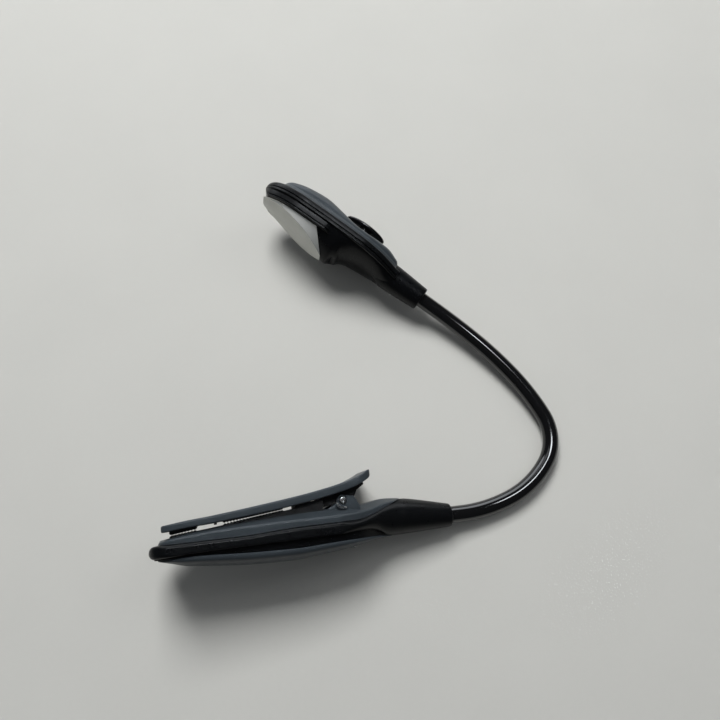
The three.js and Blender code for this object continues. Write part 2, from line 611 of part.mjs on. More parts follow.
// Lever: its top line, thickness and underside along X
const leverSlope = (pinHeight + leverOverPin - leverTipHeight) / (pinX - leverFront);
const leverDip = profile(leverSagShares, leverRear - leverFront, leverSag);
const leverTop = (x) => {
  const tail = Math.max(x - pinX, 0) / (leverRear - pinX);
  return leverTipHeight + (x - leverFront) * leverSlope + leverTailLift * tail ** 2 - leverDip(x - leverFront);
};
const leverThickness = (x) => {
  const share = Math.min((x - leverFront) / (jawRear - leverFront), 1);
  return leverTipThickness + (leverTailThickness - leverTipThickness) * share;
};
const leverLow = (x) => leverTop(x) - leverThickness(x);
const biteLine = (x) => jawLineHeight + (x - jawFront) * Math.tan(jawAngle * degree);

function leverBody(shrink) {
  const start = leverFront + shrink, end = leverRear - shrink, radius = leverFrontRadius;
  const stations = [...spread(start, start + radius, 3), ...spread(start + radius, pinX, 5).slice(1), end - radius,
    ...spread(end - leverTailRound, end, 3)];
  return skin(stations.map((x) => {
    const ahead = Math.max(start + radius - x, x - end + radius, 0);
    const corner = radius - Math.sqrt(radius ** 2 - ahead ** 2);
    const last = Math.max(x - end + leverTailRound, 0);
    const drop = leverTailRound - Math.sqrt(leverTailRound ** 2 - last ** 2);
    const half = leverWidth / 2 - corner / 2 - shrink, top = leverTop(x) - shrink - drop;
    const low = leverLow(x) + drop / 2 - (shrink ? cutOver : 0);
    return [[low, half], [top - leverChamfer, half], [top, half - leverChamfer], [top, leverChamfer - half],
      [top - leverChamfer, -half], [low, -half]].map(([y, z]) => new THREE.Vector3(x, y, z));
  }));
}

const leverShell = () => leverBody(0).subtract(leverBody(leverWall));

// Triangular teeth along the bite line, crest down for side -1 and up for side 1
function teeth(from, to, side) {
  const count = Math.floor((to - from) / toothPitch), offset = side * -jawGap / 2, points = [];
  for (let i = 0; i < count; i++) {
    const x = from + i * toothPitch, crest = x + toothPitch / 2;
    points.push([x, biteLine(x) + offset - side * toothDepth], [crest, biteLine(crest) + offset]);
  }
  const end = from + count * toothPitch;
  points.push([end, biteLine(end) + offset - side * toothDepth]);
  return points;
}

const lugOuter = earInner - runGap;
const lugInner = lugOuter - lugThickness;

// The top of the heel, moved up by lift
const heelLine = (lift) => heelShares.map(([a, b]) => {
  const x = heelFront + a * heelLength;
  return [x, plateTop(x) + b * heelHeight + lift];
});

// The black insert inside the lever: upper jaw, openings, and the lugs that hang on the pin
function leverInsert() {
  const roof = (x) => leverTop(x) - leverWall - fitGap;
  const open = (x) => biteLine(x) + jawWindowHeight;
  const rear = pinX + earFootRear, notch = (x) => [x, biteLine(x) + jawNotchHeight];
  const postFront = jawWindowRear, postRear = jawWindowRear + jawPost, slotEnd = jawNotchRear - toothPitch / 2;
  const lower = [...teeth(jawFront, jawWindowFront, -1), [jawWindowFront, open(jawWindowFront)],
    [postFront, open(postFront)], [postFront, biteLine(postFront) + jawGap],
    [postRear, biteLine(postRear) + jawGap], [postRear, open(postRear)], [slotEnd, open(slotEnd)], ...teeth(jawNotchRear, jawRear, -1),
    notch(jawRear), notch(heelFront), ...heelLine(runGap), [rear, leverLow(rear)]];
  const upper = spread(pinX, jawFront, 8).map((x) => [x, roof(x)]);
  const bar = slab([...lower, [rear, roof(rear)], ...upper], -jawWidth / 2, jawWidth / 2);
  const round = spread(...lugArc, 6).map((a) => [pinX + lugRound * Math.cos(a * degree),
    pinHeight + lugRound * Math.sin(a * degree)]);
  const edge = lugRearShares.map(([a, b]) => [pinX + a * lugReach, pinHeight + b * lugReach]);
  const front = pinX - lugFront, low = pinHeight - lugDrop;
  const outline = [[front, roof(front)], [front, low], ...round, ...edge, [pinX, roof(pinX)]];
  const lug = (side) =>
    slab(outline, Math.min(side * lugInner, side * lugOuter), Math.max(side * lugInner, side * lugOuter));
  const hole = barZ(pinX, pinHeight, pinRadius + fitGap, -baseWidth, baseWidth, smallSides);
  return bar.add(mirrored(lug)).subtract(hole);
}

// The lower toothed strip, or the recess for it in the plate when grown
function jawStrip(grow) {
  const front = jawFront - grow, rear = heelFront + heelLength + grow, half = jawWidth / 2 + grow;
  const upper = grow ? [[front, plateCrest + cutOver], [rear, plateCrest + cutOver]]
    : [...teeth(jawFront, jawWindowFront, 1), ...teeth(jawNotchRear, jawRear, 1),
      [heelFront, biteLine(heelFront) - toothDepth], ...heelLine(0), [heelFront + heelLength, heelDrop],
      [heelFront + heelLength * heelFootShare, plateTop(heelFront)]];
  const under = spread(rear, front, 8).map((x) => [x, plateTop(x) - jawSeat + fitGap - grow]);
  return slab([...upper, ...under], -half, half);
}

// The arcs of the neck. Each starts at its own origin along +x, with z as its upper side
const lastSpan = neckTurns.length - 1;
const neckSpans = neckTurns.map((turn, i) => {
  const rise = neckRises[i] * degree, side = turn * degree, bend = Math.hypot(side, rise);
  return { length: i === 0 ? neckStub : i === lastSpan ? neckTip : neckLink, bend,
    axis: bend ? new THREE.Vector3(0, -rise / bend, side / bend) : new THREE.Vector3(0, 0, 1) };
});

// Place and turn at a distance along a span; before its start and past its end the line runs on straight
function neckFrame(span, distance) {
  const inside = Math.min(Math.max(distance, 0), span.length), half = span.bend * inside / span.length / 2;
  const chord = half ? inside * Math.sin(half) / half : inside;
  const turn = new THREE.Quaternion().setFromAxisAngle(span.axis, 2 * half);
  const place = new THREE.Vector3(chord, 0, 0)
    .applyQuaternion(new THREE.Quaternion().setFromAxisAngle(span.axis, half))
    .add(new THREE.Vector3(distance - inside, 0, 0).applyQuaternion(turn));
  return { place, turn };
}

// A section of points [sideways, up] carried along a span between two distances from its start
function alongNeck(span, section, from, to) {
  const steps = Math.max(1, Math.round(span.bend / (neckStep * degree)));
  const inner = spread(0, span.length, steps).filter((s) => s > from + fitGap && s < to - fitGap);
  const stations = [from, ...inner, to];
  return skin(stations.map((distance) => {
    const { place, turn } = neckFrame(span, distance);
    return section.map(([u, v]) => new THREE.Vector3(0, u, v).applyQuaternion(turn).add(place));
  }));
}

const circle = (radius, sides, u = 0, v = 0) => spread(0, 360 - 360 / sides, sides - 1)
  .map((a) => [u + radius * Math.cos(a * degree), v + radius * Math.sin(a * degree)]);

const neckRadius = neckDiameter / 2;
const knuckleRadius = neckRadius * Math.cos(180 * degree / sheathSides);
const socketRadius = (knuckleRadius + runGap) / Math.cos(180 * degree / smallSides);
const wireStart = socketRadius + fitGap;
const wireReach = neckRadius * wireReachShare;
const spineSection = circle(spineDiameter / 2, wireSides, 0, -spineOffset);
// Two leads side by side in one outline
const leadRadius = leadDiameter / 2;
const leadSection = [...circle(leadRadius, wireSides, leadRadius, leadOffset).slice(0, 3),
  ...circle(leadRadius, wireSides, -leadRadius, leadOffset).slice(1),
  ...circle(leadRadius, wireSides, leadRadius, leadOffset).slice(4)];

// A piece of sheath: its far end is a ball round the next bend, its near end a socket round the last one
function sheath(span, from, to, socket, knuckle) {
  let shape = alongNeck(span, circle(neckRadius, sheathSides), from, to);
  const end = neckFrame(span, span.length).place;
  if (knuckle) shape = shape.add(ball(end.x, end.y, end.z, knuckleRadius));
  if (socket) shape = shape.subtract(ball(0, 0, 0, socketRadius));
  const past = cutOver + (knuckle ? neckRadius : 0);
  return shape.subtract(alongNeck(span, circle(neckBore / 2, boreSides), from - cutOver, to + past));
}

// Head: an own frame, turned to the end of the neck
const headHalf = headWidth / 2;
const headCollarRadius = headCollarDiameter / 2;
const headPlan = through([...headPlanShares.map(([a, b]) => [a * headLength, b * headHalf]),
  [headLength, headCollarRadius]]);
const headRimHalf = (x) => x < headTipLength
  ? headHalf * Math.pow(1 - Math.pow(1 - x / headTipLength, headTipPower), 1 / headTipPower) : headPlan(x);
const hoodTop = profile(hoodPeakShares, headLength, hoodPeak);
const hoodWide = profile(hoodHalfShares, headLength, hoodHalf);
const holderFront = headRimFront + holderDepth;
const holderHalf = (x) => headRimHalf(x) - holderInset;
const crown = profile(coverCrownShares, headLength, coverCrown);

function headRim() {
  const thick = (headRimBack + headRimFront) / 2, middle = (headRimBack - headRimFront) / 2, rings = [];
  const end = headRimEnd * headLength;
  for (const share of headTipShares) {
    const x = share * headTipLength, rise = thick * Math.min(1, headTipBlunt + headTipSwell * Math.sqrt(share));
    const corner = Math.min(rimEdge, rise);
    rings.push(roundedRing(x, headRimHalf(x), middle - rise, middle + rise, corner, corner));
  }
  for (const x of spread(headStraightShare * headLength, end, 8)) {
    const corner = Math.min(rimEdge, headPlan(x) / 2);
    rings.push(roundedRing(x, headPlan(x), -headRimFront, headRimBack, corner, corner));
  }
  return skin(rings);
}

function headHolder() {
  const stations = [...holderTipShares.map((share) => share * headTipLength),
    ...spread(holderStraightShare * headLength, holderEndShare * headLength, 4)];
  return skin(stations.map((x) =>
    roundedRing(x, holderHalf(x), -holderFront, fitGap - headRimFront, fitGap, fitGap)));
}

// The hood behind the lens: arches that swell to a peak and sink into the collar
function headHood() {
  const behind = hoodPeakShares.slice(2).map(([share]) => share);
  const stations = [...spread(hoodPeakShares[0][0], hoodPeakShares[1][0], 3), ...behind];
  return skin(stations.map((share) => {
    const x = share * headLength;
    return archRing(x, hoodWide(x), 0, -hoodTop(x), hoodPower, hoodSteps);
  }));
}

function headCollar(grow) {
  const start = collarRootShare * headLength, rings = [];
  for (const [share, size] of collarRootShares) {
    const r = grow + size * collarRootHalf;
    rings.push(roundedRing(start - grow - share * collarRootLength, r, -r, r, r, r));
  }
  for (const x of spread(start - grow, headLength - collarChamfer, 4)) {
    const r = grow + collarRootHalf + (headCollarRadius - collarRootHalf) * (x - start) / (headLength - start);
    rings.push(roundedRing(x, r, -r, r, r, r));
  }
  const small = headCollarRadius - collarChamfer;
  rings.push(roundedRing(headLength, small, -small, small, small, small));
  return skin(rings);
}

// The slanting face where the lens ends and the hood begins, moved along x by shift
function beforeHood(shift) {
  const top = lensSeatTopShare * headLength + shift, tip = lensSeatTipShare * headLength + shift;
  const slope = (tip - top) / (hoodPeak - holderFront);
  const deep = 2 * hoodPeak, back = headRimFront;
  const low = [tip + slope * (deep - hoodPeak), -deep], high = [top - slope * (holderFront - back), -back];
  return slab([[-headLength, -deep], low, high, [-headLength, -back]], -headWidth, headWidth);
}

const lensFace = profile(lensFaceShares, headLength, lensFaceHalf);
const lensFront = (x) => holderFront + profile(lensDepthShares, headLength, lensDepth)(x);

function lensBody(shrink, over) {
  return skin(lensStations.map((share) => {
    const x = share * headLength + (share < lensTipShare ? shrink : 0);
    const rim = Math.max(holderHalf(x) - lensInset - shrink, lensWall / 2);
    const face = Math.max(Math.min(lensFace(x), rim) - shrink, lensWall / 4);
    const front = -lensFront(x) + shrink;
    const back = -holderFront - fitGap + over;
    const edge = Math.min(lensWall / 2, face / 2);
    const between = (back - over + front) / 2, bulge = (rim + face + edge) / 2;
    return [[back, rim], [between, bulge], [front + edge, face], [front, face - edge], [front, edge - face],
      [front + edge, -face], [between, -bulge], [back, -rim]].map(([y, z]) => new THREE.Vector3(x, y, z));
  }));
}

const lens = () => lensBody(0, 0).subtract(lensBody(lensWall, cutOver))
  .intersect(beforeHood(-fitGap));

const boardTop = fitGap - framePocketFloor + boardThickness;
const headBoreFront = headLength - neckInset;

function headFrame() {
  const pocketRear = boardRearShare * headLength + 2 * fitGap;
  const well = block(wellFrontShare * headLength, wellRearShare * headLength, -2 * hoodPeak,
    cutOver - framePocketFloor, -wellWidth / 2, wellWidth / 2);
  const hood = headHood().subtract(beforeHood(0));
  return joined(headRim(), headHolder(), hood, headCollar(0))
    .subtract(block(wellFrontShare * headLength - fitGap, holderEndShare * headLength, -framePocketFloor,
      headRimBack + cutOver, -framePocketWidth / 2, framePocketWidth / 2))
    .subtract(block(holderEndShare * headLength - cutOver, pocketRear, -framePocketFloor,
      headRimBack + cutOver, -boardWidth / 2 - fitGap, boardWidth / 2 + fitGap))
    .subtract(well)
    .subtract(barX(0, 0, neckBoreRadius, headBoreFront - fitGap, headLength + cutOver))
    .subtract(barX(0, 0, ferruleRadius + fitGap, headBoreFront - fitGap, headBoreFront + ferruleLength + fitGap))
    .subtract(barX(0, 0, wireRoom, pocketRear - cutOver, headBoreFront))
    .subtract(barY(boardScrewShare * headLength, 0, screwShank / 2 + fitGap,
      -framePocketFloor - boardScrewLength, 0, smallSides));
}

const buttonX = buttonShare * headLength;
const saddle = headRimBack + crown(buttonX);
const buttonRim = saddle + buttonLift;

function coverBody(shrink) {
  const last = coverStations.length - 1;
  return skin(coverStations.map((share, i) => {
    const x = share * headLength + (i === 0 ? shrink : i === last ? -shrink : 0);
    const narrow = Math.sqrt(Math.min(1, (share - coverStations[0]) / coverStations[0] + coverStations[0]));
    const half = Math.max((headRimHalf(x) - coverSideInset) * narrow - shrink, coverWall / 2);
    const high = Math.max(crown(x) - shrink - fitGap, coverWall / 2) + (shrink ? cutOver : 0);
    return archRing(x, half, headRimBack + fitGap - (shrink ? cutOver : 0), high, crownPower, crownSteps);
  }));
}

const headCover = () => coverBody(0).subtract(coverBody(coverWall)).subtract(headCollar(fitGap))
  .subtract(barY(buttonX, 0, buttonStem / 2 + runGap, headRimBack, buttonRim + coverCrown));

// The button: an oval dome over a shallower belly, on a round stem that ends on the switch
function powerButton() {
  const rings = buttonLevels.map(([level, size]) => {
    const y = buttonRim + (level < 0 ? level * buttonBelly : level * buttonDome);
    return circle(size / 2, roundSides)
      .map(([u, v]) => new THREE.Vector3(buttonX + u * buttonLength, y, v * buttonWidth));
  });
  const stemFoot = plungerTop + buttonTravel + pressGap;
  return skin(rings).add(barY(buttonX, 0, buttonStem / 2, stemFoot, buttonRim, smallSides));
}

function led(share) {
  const x = share * headLength, seat = boardTop - boardThickness - fitGap;
  const radius = ledDiameter / 2, neck = seat - ledHeight + radius;
  const flange = barY(x, 0, radius + ledFlange / 3, seat - ledFlange, seat, smallSides);
  return joined(flange, barY(x, 0, radius, neck, seat - ledFlange / 2, smallSides), ball(x, neck, 0, radius));
}

function reflector() {
  const low = -holderFront - lensWall, high = -framePocketFloor;
  const front = wellFrontShare * headLength + fitGap, rear = wellRearShare * headLength - fitGap;
  const half = wellWidth / 2 - fitGap;
  const dish = block(front, rear, -holderFront, high, -half, half);
  const scoop = block(front + lensWall, rear - lensWall, low - cutOver, high - lensWall,
    lensWall - half, half - lensWall);
  const holes = ledShares.map((share) => barY(share * headLength, 0, ledDiameter / 2 + ledFlange / 3 + fitGap,
    low - cutOver, high + cutOver, smallSides));
  return dish.subtract(scoop).subtract(joined(...holes));
}

const switchTop = boardTop + fitGap + switchHeight;
const plungerTop = switchTop + plungerHeight;
const tactSwitch = () => block(buttonX - switchSize / 2, buttonX + switchSize / 2, boardTop + fitGap, switchTop,
  -switchSize / 2, switchSize / 2)
  .add(barY(buttonX, 0, plungerDiameter / 2, switchTop - fitGap, plungerTop, smallSides));

function resistor() {
  const x = resistorShare * headLength, low = boardTop + fitGap;
  return block(x - resistorLength / 2, x + resistorLength / 2, low, low + resistorHeight,
    -resistorWidth / 2, resistorWidth / 2);
}

function ledBoard() {
  const plate = block(boardFrontShare * headLength, boardRearShare * headLength, boardTop - boardThickness,
    boardTop, -boardWidth / 2, boardWidth / 2);
  const hole = barY(boardScrewShare * headLength, 0, screwShank / 2 + fitGap, -cutOver, cutOver, smallSides);
  return plate.subtract(hole);
}

function boardScrew() {
  const x = boardScrewShare * headLength, seat = boardTop + fitGap;
  const head = barY(x, 0, boardScrewHead / 2, seat, seat + screwHeadHeight, smallSides);
  const shank = barY(x, 0, screwShank / 2, seat - boardScrewLength, seat + fitGap, smallSides);
  return joined(head, shank).subtract(block(x - boardScrewHead, x + boardScrewHead, seat + screwHeadHeight / 2,
    seat + screwHeadHeight + cutOver, -slotWidth / 2, slotWidth / 2));
}

const ferrule = (from, height) => barX(height, 0, ferruleRadius, from, from + ferruleLength)
  .subtract(barX(height, 0, neckRadius + fitGap / 2, from - cutOver, from + ferruleLength + cutOver));

// Battery cover: a dome under the groove, with a pocket that clears the cells
function batteryCover() {
  const depthAt = profile(coverDepthShares, 1, coverDepth), halfAt = profile(coverHalfShares, 1, 1);
  const rings = coverPlaceShares.map((share) => {
    const x = coverStart + share * (coverEnd - coverStart), half = (rimHalf(x) - coverInset) * halfAt(share);
    return archRing(x, half, Math.min(grooveLow(x), bodyLow(x) - fitGap), -depthAt(share), coverPower, coverSteps);
  });
  const level = coverLevel - fitGap;
  return skin(rings).subtract(cellRoom(cellLow - coverFloor, cutOver))
    .subtract(joined(...plateScrewPlaces.map(([x, z]) => barY(x, z, plateScrewHead / 2 + fitGap,
      plateScrewSeat - screwHeadHeight - fitGap, cutOver, smallSides))))
    .subtract(barY(coverScrewX, 0, screwShank / 2 + fitGap, level - coverDepth - cutOver, 0, smallSides))
    .subtract(barY(coverScrewX, 0, coverScrewDiameter / 2 + fitGap, level - coverDepth - cutOver,
      level - screwHeadHeight, smallSides));
}

function batteryCoverScrew() {
  const seat = coverLevel - screwHeadHeight - 2 * fitGap;
  const head = barY(coverScrewX, 0, coverScrewDiameter / 2, seat - screwHeadHeight, seat, smallSides);
  const shank = barY(coverScrewX, 0, screwShank / 2, seat - fitGap, seat + screwLength, smallSides);
  const low = seat - screwHeadHeight - cutOver, deep = seat - screwHeadHeight / 2;
  const slot = block(coverScrewX - coverScrewDiameter, coverScrewX + coverScrewDiameter, low, deep,
    -slotWidth / 2, slotWidth / 2);
  return joined(head, shank).subtract(slot);
}

// A contact strip under the pocket's roof, from over one cell to near the wall
function roofContact(from, to) {
  const low = cellTop + fitGap;
  return block(from, to, low, low + contactThickness, -contactWidth / 2, contactWidth / 2);
}

function bridgeContact() {
  const high = cellLow - fitGap;
  return block(cellPlaces[0], cellPlaces[1], high - contactThickness, high, -contactWidth / 2, contactWidth / 2);
}

// The torsion spring: a leg under the lever's tail, the coil round the pin, and a leg that hooks round the ear
function torsionSpring() {
  const half = springTurns * springPitch / 2, stepsPerTurn = 8, steps = springTurns * stepsPerTurn;
  const legX = pinX + springLeg, legY = leverLow(legX) - springWire / 2 - fitGap;
  const coil = spread(0, steps, steps).map((i) => {
    const angle = (90 + i * 360 / stepsPerTurn) * degree;
    return [pinX + springRadius * Math.cos(angle), pinHeight + springRadius * Math.sin(angle),
      springPitch * i / stepsPerTurn - half];
  });
  const bend = springWire * springBendShare;
  return tube([[legX, legY, -half], ...coil,
    [hookX - bend / 2, hookHeight, half + bend / 3], [hookX, hookHeight, half + bend],
    [hookX, hookHeight, hookZ - bend], [hookX - bend, hookHeight, hookZ],
    [pinX - springHook + springWire, hookHeight, hookZ]], springWire / 2, springSides);
}

// A round wire through a list of points, mitred at each
function tube(points, radius, sides) {
  const path = points.map((p) => new THREE.Vector3(...p));
  const up = new THREE.Vector3(0, 0, 1), rings = [];
  let normal = null;
  path.forEach((point, i) => {
    const before = path[Math.max(i - 1, 0)], after = path[Math.min(i + 1, path.length - 1)];
    const into = point.clone().sub(before), out = after.clone().sub(point);
    const both = into.clone().normalize().add(out.clone().normalize());
    const along = (i === 0 ? out : i === path.length - 1 ? into : both).normalize();
    if (!normal) normal = new THREE.Vector3().crossVectors(up, along).normalize();
    normal = normal.sub(along.clone().multiplyScalar(normal.dot(along))).normalize();
    const side = new THREE.Vector3().crossVectors(along, normal);
    rings.push(circle(radius, sides).map(([u, v]) =>
      point.clone().addScaledVector(normal, u).addScaledVector(side, v)));
  });
  return skin(rings);
}

const clipGroup = new THREE.Group();
const leverGroup = new THREE.Group();
const headGroup = new THREE.Group();

clipGroup.add(
  piece("base_housing", baseHousing(), black),
  piece("clip_plate", clipPlate(), slate),
  piece("plate_jaw", jawStrip(0), rubber),
  piece("battery_cover", batteryCover(), slate),
  piece("battery_cover_screw", batteryCoverScrew(), steel),
  piece("coin_cell_front", barY(cellPlaces[0], 0, cellRadius, cellLow, cellTop), cellSkin),
  piece("coin_cell_rear", barY(cellPlaces[1], 0, cellRadius, cellLow, cellTop), cellSkin),
  piece("contact_front", roofContact(cellPlaces[0] - cellRadius / 2, cellPlaces[0] + cellRadius / 2), brass),
  piece("contact_rear", roofContact(cellPlaces[1] - cellRadius / 2, cellPlaces[1] + cellRadius / 2), brass),
  piece("contact_bridge", bridgeContact(), brass),
  piece("hinge_pin", barZ(pinX, pinHeight, pinRadius, -pinHalf, pinHalf, smallSides), steel),
  piece("torsion_spring", torsionSpring(), steel),
  piece("plate_screw_upper", plateScrew(plateScrewPlaces[0]), steel),
  piece("plate_screw_lower", plateScrew(plateScrewPlaces[1]), steel),
  piece("plate_screw_rear", plateScrew(plateScrewPlaces[2]), steel),
  piece("base_ferrule", ferrule(baseLength - neckInset, neckHeight), brass),
);

leverGroup.add(
  piece("lever_shell", leverShell(), slate),
  piece("lever_jaw", leverInsert(), rubber),
);

// The neck's pieces, from the clip to the head, each link carried by the end of the one before
let carrier = clipGroup, place = new THREE.Vector3(baseLength, neckHeight, 0), turn = new THREE.Quaternion();
neckSpans.forEach((span, i) => {
  const tag = i === 0 ? "root" : i === lastSpan ? "tip" : String(i);
  const from = i === 0 ? -neckInset : 0, to = span.length + (i === lastSpan ? neckInset : 0);
  const wireFrom = i === 0 ? from - fitGap / 2 : wireStart;
  const wireTo = i === lastSpan ? to + fitGap / 2 : to + wireReach;
  const link = new THREE.Group();
  link.name = "span_" + tag;
  link.position.copy(place);
  link.quaternion.copy(turn);
  link.add(
    piece("neck_sheath_" + tag, sheath(span, from, to, i > 0, i < lastSpan), gloss),
    piece("neck_spine_" + tag, alongNeck(span, spineSection, wireFrom, wireTo), steel),
    piece("neck_leads_" + tag, alongNeck(span, leadSection, wireFrom, wireTo), copper),
  );
  carrier.add(link);
  carrier = link;
  ({ place, turn } = neckFrame(span, span.length));
});

// The head on the neck's end, its tip away from the neck
headGroup.name = "head";
headGroup.rotation.set(headRoll * degree, 0, Math.PI, "XYZ");
headGroup.position.copy(place).add(new THREE.Vector3(headLength, 0, 0).applyQuaternion(turn));
headGroup.quaternion.premultiply(turn);
carrier.add(headGroup);
headGroup.add(
  piece("head_frame", headFrame(), black),
  piece("head_cover", headCover(), slate),
  piece("lens", lens(), milky),
  piece("reflector", reflector(), white),
  piece("led_board", ledBoard(), board),
  piece("led_front", led(ledShares[0]), amber),
  piece("led_rear", led(ledShares[1]), amber),
  piece("head_ferrule", ferrule(headBoreFront, 0), brass),
  piece("board_screw", boardScrew(), steel),
  piece("tact_switch", tactSwitch(), steel),
  piece("board_resistor", resistor(), rubber),
  piece("power_button", powerButton(), gloss),
);

clipGroup.add(leverGroup);
clipGroup.name = "clip";
clipGroup.rotation.set(clipRoll * degree, clipPitch * degree, 0, "ZYX");
clipGroup.updateMatrixWorld(true);
const extent = new THREE.Box3().setFromObject(clipGroup, true);
const middle = extent.getCenter(new THREE.Vector3());
clipGroup.position.set(-middle.x, -middle.y, -extent.min.z);

const bookLight = new THREE.Group();
bookLight.name = "clip_on_book_light";
bookLight.add(clipGroup);
export default bookLight;
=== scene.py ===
"""Looks of a clip-on book light: a sprung clip with a battery base, a bendable neck and a lamp head.

Shapes are worked out in millimetres, in the clip's, the neck's or the head's own frame, and are placed
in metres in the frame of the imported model. A table of places holds pairs of shares: the first is a share of
the length along a piece, the second a share of its height or half width there.
"""

import json
import logging
import math
from dataclasses import dataclass
from enum import Enum
from typing import ClassVar, Iterable, Sequence

import bmesh
import bpy
import numpy as np
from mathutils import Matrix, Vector


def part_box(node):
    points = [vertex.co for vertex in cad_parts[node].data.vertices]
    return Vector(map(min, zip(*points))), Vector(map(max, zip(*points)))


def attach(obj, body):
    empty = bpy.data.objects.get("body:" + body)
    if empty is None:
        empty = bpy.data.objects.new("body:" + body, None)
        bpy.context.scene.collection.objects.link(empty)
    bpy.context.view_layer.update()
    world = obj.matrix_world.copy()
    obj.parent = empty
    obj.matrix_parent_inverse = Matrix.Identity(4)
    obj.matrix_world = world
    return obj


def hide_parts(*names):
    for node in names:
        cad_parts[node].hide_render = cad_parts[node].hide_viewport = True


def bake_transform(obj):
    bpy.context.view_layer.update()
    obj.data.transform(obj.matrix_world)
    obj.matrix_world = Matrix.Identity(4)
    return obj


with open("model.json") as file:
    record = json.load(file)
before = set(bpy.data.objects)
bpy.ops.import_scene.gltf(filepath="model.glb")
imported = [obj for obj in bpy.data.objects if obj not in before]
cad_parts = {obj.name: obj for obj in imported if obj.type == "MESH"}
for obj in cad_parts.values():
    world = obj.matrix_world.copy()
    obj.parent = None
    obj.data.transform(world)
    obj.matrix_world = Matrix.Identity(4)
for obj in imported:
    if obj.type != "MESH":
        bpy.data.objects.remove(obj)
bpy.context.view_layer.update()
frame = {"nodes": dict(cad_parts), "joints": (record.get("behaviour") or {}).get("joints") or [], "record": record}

MM = 0.001
MERGE = 0.002 * MM
QUARTER, ROUND = math.pi / 2, math.pi * 2
TINY = 1e-9
ON_AXIS = 0.001
Array = np.ndarray
Shares = Sequence[tuple[float, float]]
Color = tuple[float, float, float]
log = logging.getLogger("book_light")


# Curves and sections


class Profile:
    """A smooth curve through points, level beyond both ends."""

    def __init__(self, shares: Shares, length: float = 1.0, height: float = 1.0) -> None:
        """Take the points as shares of a length and of a height.

        Args:
            shares: points as (share of length, share of height), the first value rising.
            length: what the first values are shares of.
            height: what the second values are shares of.
        """
        self.x, self.y = (np.array(shares, float) * (length, height)).T
        before, after = np.r_[0, 0 : len(self.x) - 1], np.r_[1 : len(self.x), len(self.x) - 1]
        self.slope = (self.y[after] - self.y[before]) / (self.x[after] - self.x[before])

    def __call__(self, place: Array | float) -> Array:
        """Return the curve's height at each place, by cubic Hermite pieces."""
        q = np.clip(place, self.x[0], self.x[-1])
        i = np.clip(np.searchsorted(self.x, q), 1, len(self.x) - 1)
        width = self.x[i] - self.x[i - 1]
        t = (q - self.x[i - 1]) / width
        return (
            (2 * t**3 - 3 * t**2 + 1) * self.y[i - 1]
            + (t**3 - 2 * t**2 + t) * width * self.slope[i - 1]
            + (3 * t**2 - 2 * t**3) * self.y[i]
            + (t**3 - t**2) * width * self.slope[i]
        )


def ease(place: Array, start: float, end: float) -> Array:
    """Return 0 before start, 1 after end, and a smooth step between them."""
    t = np.clip((place - start) / (end - start), 0, 1)
    return t * t * (3 - 2 * t)


def column(*values: Array | float) -> Array:
    """Stack values, each one number or one per station, into points of shape (stations, values)."""
    return np.stack(np.broadcast_arrays(*values), axis=-1).astype(float)


def rounded(corners: Array, radii: Sequence[Array | float], steps: int = 7) -> Array:
    """Round the corners of many open outlines at once.

    A corner P with arms a and b towards its neighbours becomes P + a (1 - sin t) + b (1 - cos t), with t from
    0 to a right angle: a part of an ellipse that starts and ends along the two sides.

    Args:
        corners: outlines of shape (stations, corners, 2).
        radii: the length of the arms at each corner, nothing at a sharp one.
        steps: how many steps each arc has.

    Returns:
        The outlines, of shape (stations, points, 2).
    """
    t = np.linspace(0, QUARTER, steps + 1)[None, :, None]
    last, parts = corners.shape[1] - 1, []
    for k, radius in enumerate(radii):
        point = corners[:, k]
        if k in (0, last) or (np.isscalar(radius) and radius == 0):
            parts.append(point[:, None])
            continue
        arms = []
        for near in (k - 1, k + 1):
            side = corners[:, near] - point
            length = np.maximum(np.linalg.norm(side, axis=-1, keepdims=True), TINY)
            most = 1.0 if near in (0, last) else 0.5
            reach = np.reshape(np.broadcast_to(radius, len(point)), (-1, 1))
            arms.append(side * np.minimum(reach / length, most))
        before, after = arms[0][:, None], arms[1][:, None]
        parts.append(point[:, None] + before * (1 - np.sin(t)) + after * (1 - np.cos(t)))
    return np.concatenate(parts, axis=1)


def arch(half: Array, edge: Array, depth: Array, power: float, steps: int = 40) -> Array:
    """Return half outlines of a dome from its rim to its crown, one for each station.

    With t from 0 to a right angle, z is half cos^(2/power) t and y is edge + depth sin^(2/power) t: a quarter
    of a superellipse.

    Args:
        half: half the dome's width.
        edge: the height y of its rim.
        depth: how far its crown stands from the rim, along y.
        power: the superellipse's power, 2 for an ellipse and more for a squarer dome.
        steps: how many steps the outline has.

    Returns:
        The outlines, of shape (stations, points, (y, z)).
    """
    t = np.linspace(0, QUARTER, steps + 1)[None, :]
    z = half[:, None] * np.cos(t) ** (2 / power)
    y = edge[:, None] + depth[:, None] * np.sin(t) ** (2 / power)
    return np.stack([y, z], axis=-1)


